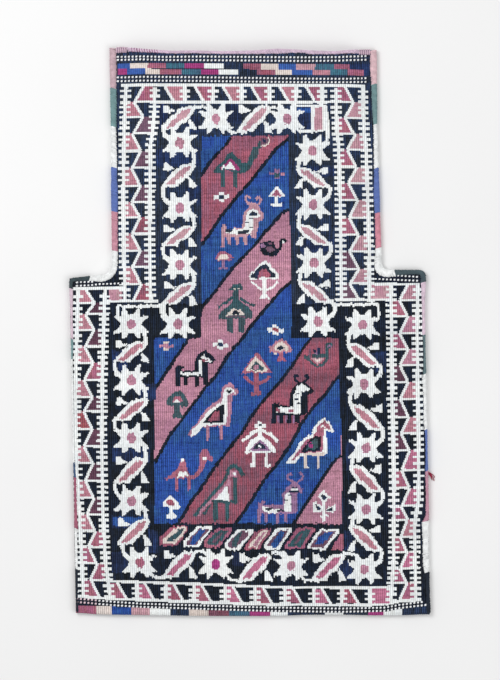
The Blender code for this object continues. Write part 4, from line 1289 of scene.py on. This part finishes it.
# How far the yarn reaches in and out over the edge, in millimetres, at lengths along it from the mouth
REACH_IN = {
    "left": ([0, 200, 218, 226, 240, 250, 268, 285, 335, 352, 450, 462, 470, 560, 604],
             [4.9, 4.9, 4.8, 3.8, 3.0, 2.3, 2.3, 2.4, 2.4, 0.9, 0.9, 1.4, 2.4, 2.6, 2.0]),
    "right": ([0, 20, 40, 60, 100, 140, 183, 200, 212, 222, 232, 243, 255, 268, 272, 330, 340, 372, 380, 425,
               432, 515, 522, 562, 572, 604],
              [5.5, 5.5, 4.5, 4.0, 3.1, 3.2, 2.6, 2.4, 4.0, 6.0, 5.4, 3.0, 1.5, 1.5, 2.4, 2.4, 1.5, 1.5,
               2.4, 2.2, 1.6, 1.6, 6.2, 6.2, 4.4, 2.6]),
}
REACH_OUT = {
    "left": ([0, 60, 110, 190, 215, 228, 245, 270, 290, 330, 350, 450, 468, 560, 604],
             [0.9, 0.6, 0.8, 0.8, 0.9, 2.6, 2.4, 0.2, -0.4, -0.4, -0.8, -0.8, -0.9, -0.6, -0.8]),
    "right": ([0, 70, 100, 140, 183, 210, 228, 268, 300, 345, 400, 446, 490, 540, 585, 604],
              [0.2, 0.2, 1.0, 1.4, 2.4, 3.4, 3.0, 2.2, 0.5, 0.1, 0.2, 0.4, 0.3, 0.0, 0.2, 0.2]),
}
# The slow and the quick waver of the yarn's reach: how much, and over what length
WAVERS = ((0.35, 19 * MM), (0.25, 7.3 * MM))
WAVER_JITTER = 0.25


def windings(turns, steps):
    """The course of a yarn wound round an edge: the turns so far, and how far inwards and up it stands."""
    for step in range(turns * steps + 1):
        turn = step / steps
        angle = 2 * math.pi * turn
        yield turn, math.cos(angle), math.sin(angle)


def overcast(side, start, stop, place):
    """Yarn wound over the stacked edges from start to stop along the edge."""
    stack = 2 * CLOTH_THICKNESS + SEAM_GAP
    middle = EDGE_LIFT + stack / 2 + YARN_RAISE
    rise = stack / 2 + YARN_STAND
    points = []
    turns = max(2, round((stop - start) / YARN_PITCH))
    jitter = [random.gauss(0, 1) for _ in range(turns + 2)]
    for turn, across, up in windings(turns, YARN_STEPS):
        across, up = (math.copysign(abs(part) ** YARN_SQUARE, part) for part in (across, up))
        along = start + (stop - start) * turn / turns + YARN_SLANT * across
        along += YARN_JITTER * jitter[int(turn)]
        along = min(max(along, start), stop)
        point, into = place(along)
        waver = sum(amount * math.sin(along / run) for amount, run in WAVERS)
        waver += WAVER_JITTER * jitter[int(turn) + 1]
        reach = (np.interp(along / MM, *REACH_IN[side]) + waver) * MM
        out = (np.interp(along / MM, *REACH_OUT[side]) + 0.5 * waver) * MM
        spot = point + into * ((reach - out) / 2 + across * (reach + out) / 2)
        points.append(set_down(*spot, middle + up * rise))
    return points


def make_side(side):
    marks, place = side_edge(side)
    neck_end = marks[1] + CORNER_WRAP[side]
    shoulder_end = marks[2] + CORNER_DROP
    runs = [
        ("neck", YARNS[side, "neck"], 0.0, neck_end),
        ("shoulder", [("green", 1.0)], neck_end, shoulder_end),
        ("body", YARNS[side, "body"], shoulder_end, marks[3]),
    ]
    for run, yarns, start, end in runs:
        stretch = (end - start) / sum(length for _, length in yarns)
        for number, (dye, length) in enumerate(yarns, 1):
            stop = start + length * stretch
            node = f"{side}_{run}_{number}_{dye}"
            strand = overcast(side, start, stop, place)
            colour = YARN_COLOURS.get(node, YARN_COLOURS[dye])
            seat(yarn("overcast_" + node, [strand], YARN_RADIUS, colour), "binding_" + node)
            start = stop


RIM_OUT = 0.7 * MM
RIM_YARN = 0.5 * MM
RIM_PITCH = 1.15 * MM
RIM_JITTER = 0.25 * MM
RIM_SLANT = 0.9 * MM
RIM_STAND = 0.6 * MM
PLUM_YARN = 0.6 * MM
PLUM_PITCH = 2.6 * MM
TACK_YARN = 0.85 * MM
TACK_PITCH = 1.9 * MM
TACK_STEPS = 12
TACK_REACH = 5 * MM
TACK_WIDTH = 11.5 * MM
TACK_RAISE = 0.2 * MM
TACK_STAND = 0.4 * MM
# How far the hem reaches down into the cloth, in millimetres, at places across the mouth
HEM_REACH = ([-127, -100, -50, -10, 30, 39, 46, 60, 64, 95, 127],
             [3.6, 3.0, 3.0, 3.5, 4.7, 4.4, 3.0, 2.8, 4.0, 3.0, 3.6])


def make_rim(name, node, level, colour=HEM_COLOUR, radius=RIM_YARN, pitch=RIM_PITCH, span=(-115.75, 115.75)):
    """The overcast hem of one mouth edge, worn thin in one place."""
    start, stop = (NECK_SHIFT + end * MM for end in span)
    turns = round((stop - start) / pitch)
    points = []
    jitter = [random.gauss(0, 1) for _ in range(turns + 2)]
    for turn, across, up in windings(turns, YARN_STEPS):
        x = start + (stop - start) * turn / turns
        reach = np.interp(x / MM, *HEM_REACH) * MM + RIM_JITTER * jitter[int(turn)]
        inward = (reach - RIM_OUT) / 2 + across * (reach + RIM_OUT) / 2
        x += RIM_SLANT * across
        height = level(x, MOUTH_Y) + CLOTH_THICKNESS / 2 + up * (CLOTH_THICKNESS / 2 + RIM_STAND)
        points.append(set_down(x, MOUTH_Y - inward, height))
    seat(yarn(name, [points], radius, colour), node)


def make_tack(name, node, start):
    """The wrapped end of the mouth, where both edges are bound together."""
    turns = round(TACK_WIDTH / TACK_PITCH)
    points = []
    for turn, across, up in windings(turns, TACK_STEPS):
        x = start + TACK_WIDTH * turn / turns
        low = lift(x, MOUTH_Y)
        high = front_inside(x, MOUTH_Y) + CLOTH_THICKNESS
        inward = (TACK_REACH - RIM_OUT) / 2 + across * (TACK_REACH + RIM_OUT) / 2
        height = (low + high) / 2 + TACK_RAISE + up * ((high - low) / 2 + TACK_STAND)
        points.append(set_down(x, MOUTH_Y - inward, height))
    seat(yarn(name, [points], TACK_YARN, KNOT_COLOUR), node)


# Rows of twining: four at the mouth, two at each shoulder and two along the foot
TWINED_ROWS = [chart_points(row) for row in (
    "117,56.4 140,56.8 165,57.4 200,57 300,57.8 340,57.5 369,55.5",
    "117,59.5 140,59.7 165,60.5 200,60.6 300,61.4 340,61.1 369,59.1",
    "117,77 200,77.6 300,79 345,79.2 371,77.5",
    "117,80.8 200,81.3 300,82.6 345,82.6 371,81.3",
    "76,282.4 80,282 96,281.6",
    "76,285.8 90,285.2 100,284 112,283.7 121,283",
    "397.5,275.4 421,277",
    "375,278.8 400,279.9 421,280.8",
    "98.5,600.8 117,602.2 142,603.9 200,605.6 260,607.5 340,608.8 385,607.8 400,605 413,603.5 427,601.8",
    "98.5,604.2 117,605.6 142,607.1 200,609 260,610.9 340,612.1 385,611.1 400,608.2 413,606.8 430,605",
)]
ROSY_ROWS = [chart_points(row) for row in (
    "76,599 90,600 98.5,600.8",
    "76,602.5 90,603.4 98.5,604.2",
)]
TWINE_PITCH = 3.75
TWINE_STEPS = 8
TWINE_RADIUS = 1.1 * MM
TWINE_SLANT = 0.08
TWINE_RISE = 0.7 * MM
TWINE_SINK = 0.9


def on_cloth(x, y, height):
    """The place of a spot of the chart, at a height over the cloth."""
    column, row = from_chart([(x, y)])
    return settle(column[0] * COLUMN + BODY_LEFT, row[0] * ROW, CLOTH_THICKNESS + height)


def make_twined_rows():
    """Rows of twining: a pale and a dark weft turning round each other."""
    for name, rows, colour, phase in (
        ("pale", TWINED_ROWS, (234, 236, 238), 0.0),
        ("dark", TWINED_ROWS + ROSY_ROWS, (34, 38, 50), math.pi),
        ("rosy", ROSY_ROWS, (216, 192, 200), 0.0),
    ):
        strands = []
        for path in rows:
            across, down = zip(*path)
            turns = int((across[-1] - across[0]) / TWINE_PITCH)
            points = []
            for step in range(turns * TWINE_STEPS + 1):
                angle = 2 * math.pi * step / TWINE_STEPS + phase
                x = across[0] + TWINE_PITCH * step / TWINE_STEPS
                y = np.interp(x, across, down) + TWINE_SLANT * math.cos(angle)
                points.append(on_cloth(x, y, TWINE_RISE * (math.sin(angle) - TWINE_SINK)))
            strands.append(points)
        seat(yarn("twined_rows_" + name, strands, TWINE_RADIUS, colour), "bag_cloth")


TUFT_Y = -145.0 * MM
TUFT_LENGTH = 13.0 * MM
TUFT_YARN = 0.4 * MM
TUFT_STRANDS = 7
TUFT_STEPS = 7
TUFT_SPREAD = (0.15, 0.6)
TUFT_DROOP = (0.3, 0.8)
TUFT_CURVE = 1.6
TUFT_BEND = (0.5 * MM, 0.8 * MM)
TUFT_SEAT = 0.5 * MM


def make_tuft():
    """A frayed end of red yarn that has worked out of the overcasting."""
    top = EDGE_LIFT + CLOTH_THICKNESS
    strands = []
    for _ in range(TUFT_STRANDS):
        spread, droop, bend = (random.uniform(*span) for span in (TUFT_SPREAD, TUFT_DROOP, (-1, 1)))
        points = []
        for step in range(TUFT_STEPS + 1):
            part = step / TUFT_STEPS
            x = BODY_RIGHT + TUFT_LENGTH * spread * math.sin(part * TUFT_CURVE) + TUFT_BEND[0] * bend
            y = TUFT_Y - TUFT_LENGTH * droop * part + TUFT_BEND[1] * bend
            points.append(set_down(x, y, max(TUFT_YARN, top * (1 - part) + TUFT_SEAT)))
        strands.append(points)
    seat(yarn("red_yarn_tuft", strands, TUFT_YARN, TUFT_COLOUR), "yarn_tuft_red")


# The studio

FLOOR_TONES = (0.80, 0.86)
SKY_STRENGTH = 0.54
# The place, power and size of each lamp
LAMPS = {"key": ((-0.9, 0.8, 1.6), 20.0, 1.0), "fill": ((1.1, -0.7, 1.6), 12.0, 1.4)}
PICTURE_HEIGHT = 0.680
CAMERA_X = -2.6 * MM
CAMERA_Y = -9.14 * MM
BAG_TOP = 10 * MM


def make_floor():
    bm = bmesh.new()
    bmesh.ops.create_grid(bm, x_segments=1, y_segments=1, size=4.0)
    material, tree, shader = new_material("studio_floor", FLOOR_FINISH)
    place = add_node(tree, "ShaderNodeTexCoord").outputs["Object"]
    feed(tree, shader.inputs["Base Color"], remap(tree, noise(tree, place, 3.0), 0.0, 1.0, *FLOOR_TONES))
    floor = finish(bm, "studio_floor", [material])


def make_lights():
    world = bpy.data.worlds.new("studio")
    world.use_nodes = True
    world.node_tree.nodes["Background"].inputs["Color"].default_value = (1.0, 1.0, 1.0, 1.0)
    world.node_tree.nodes["Background"].inputs["Strength"].default_value = SKY_STRENGTH
    bpy.context.scene.world = world
    for name, (place, power, size) in LAMPS.items():
        lamp = bpy.data.lights.new(name, "AREA")
        lamp.energy = power
        lamp.size = size
        obj = add_object(name, lamp)
        obj.location = place
        obj.rotation_euler = (-Vector(place)).to_track_quat("-Z", "Y").to_euler()


def make_camera():
    """Straight above the bag, 1 mm to a pixel of a picture of 500 by 680."""
    camera = bpy.data.cameras.new("camera")
    camera.sensor_fit = "VERTICAL"
    camera.sensor_height = 24.0
    camera.lens = 100.0
    camera.clip_end = 20.0
    obj = add_object("camera", camera)
    distance = PICTURE_HEIGHT * camera.lens / camera.sensor_height
    obj.location = (CAMERA_X, CAMERA_Y, distance + BAG_TOP)
    bpy.context.scene.camera = obj


def main():
    bpy.context.scene.view_settings.view_transform = "Standard"
    make_camera()
    make_floor()
    make_lights()
    weave_pattern()
    back, front = make_back(), make_front()
    for piece in (front, back, make_inside()):
        seat(piece, "bag_cloth")
    make_side("left")
    make_side("right")
    make_rim("mouth_hem_front", "mouth_binding_front", front_inside)
    make_rim("mouth_hem_plum_wrap", "mouth_binding_front", front_inside, PLUM_COLOUR, PLUM_YARN, PLUM_PITCH,
             (-112, -84))
    make_rim("mouth_hem_back", "mouth_binding_back", lift)
    make_tack("mouth_knot_left", "mouth_tack_left", NECK_LEFT + BOUND)
    make_tack("mouth_knot_right", "mouth_tack_right", NECK_RIGHT - BOUND - TACK_WIDTH)
    make_tuft()
    make_twined_rows()


main()
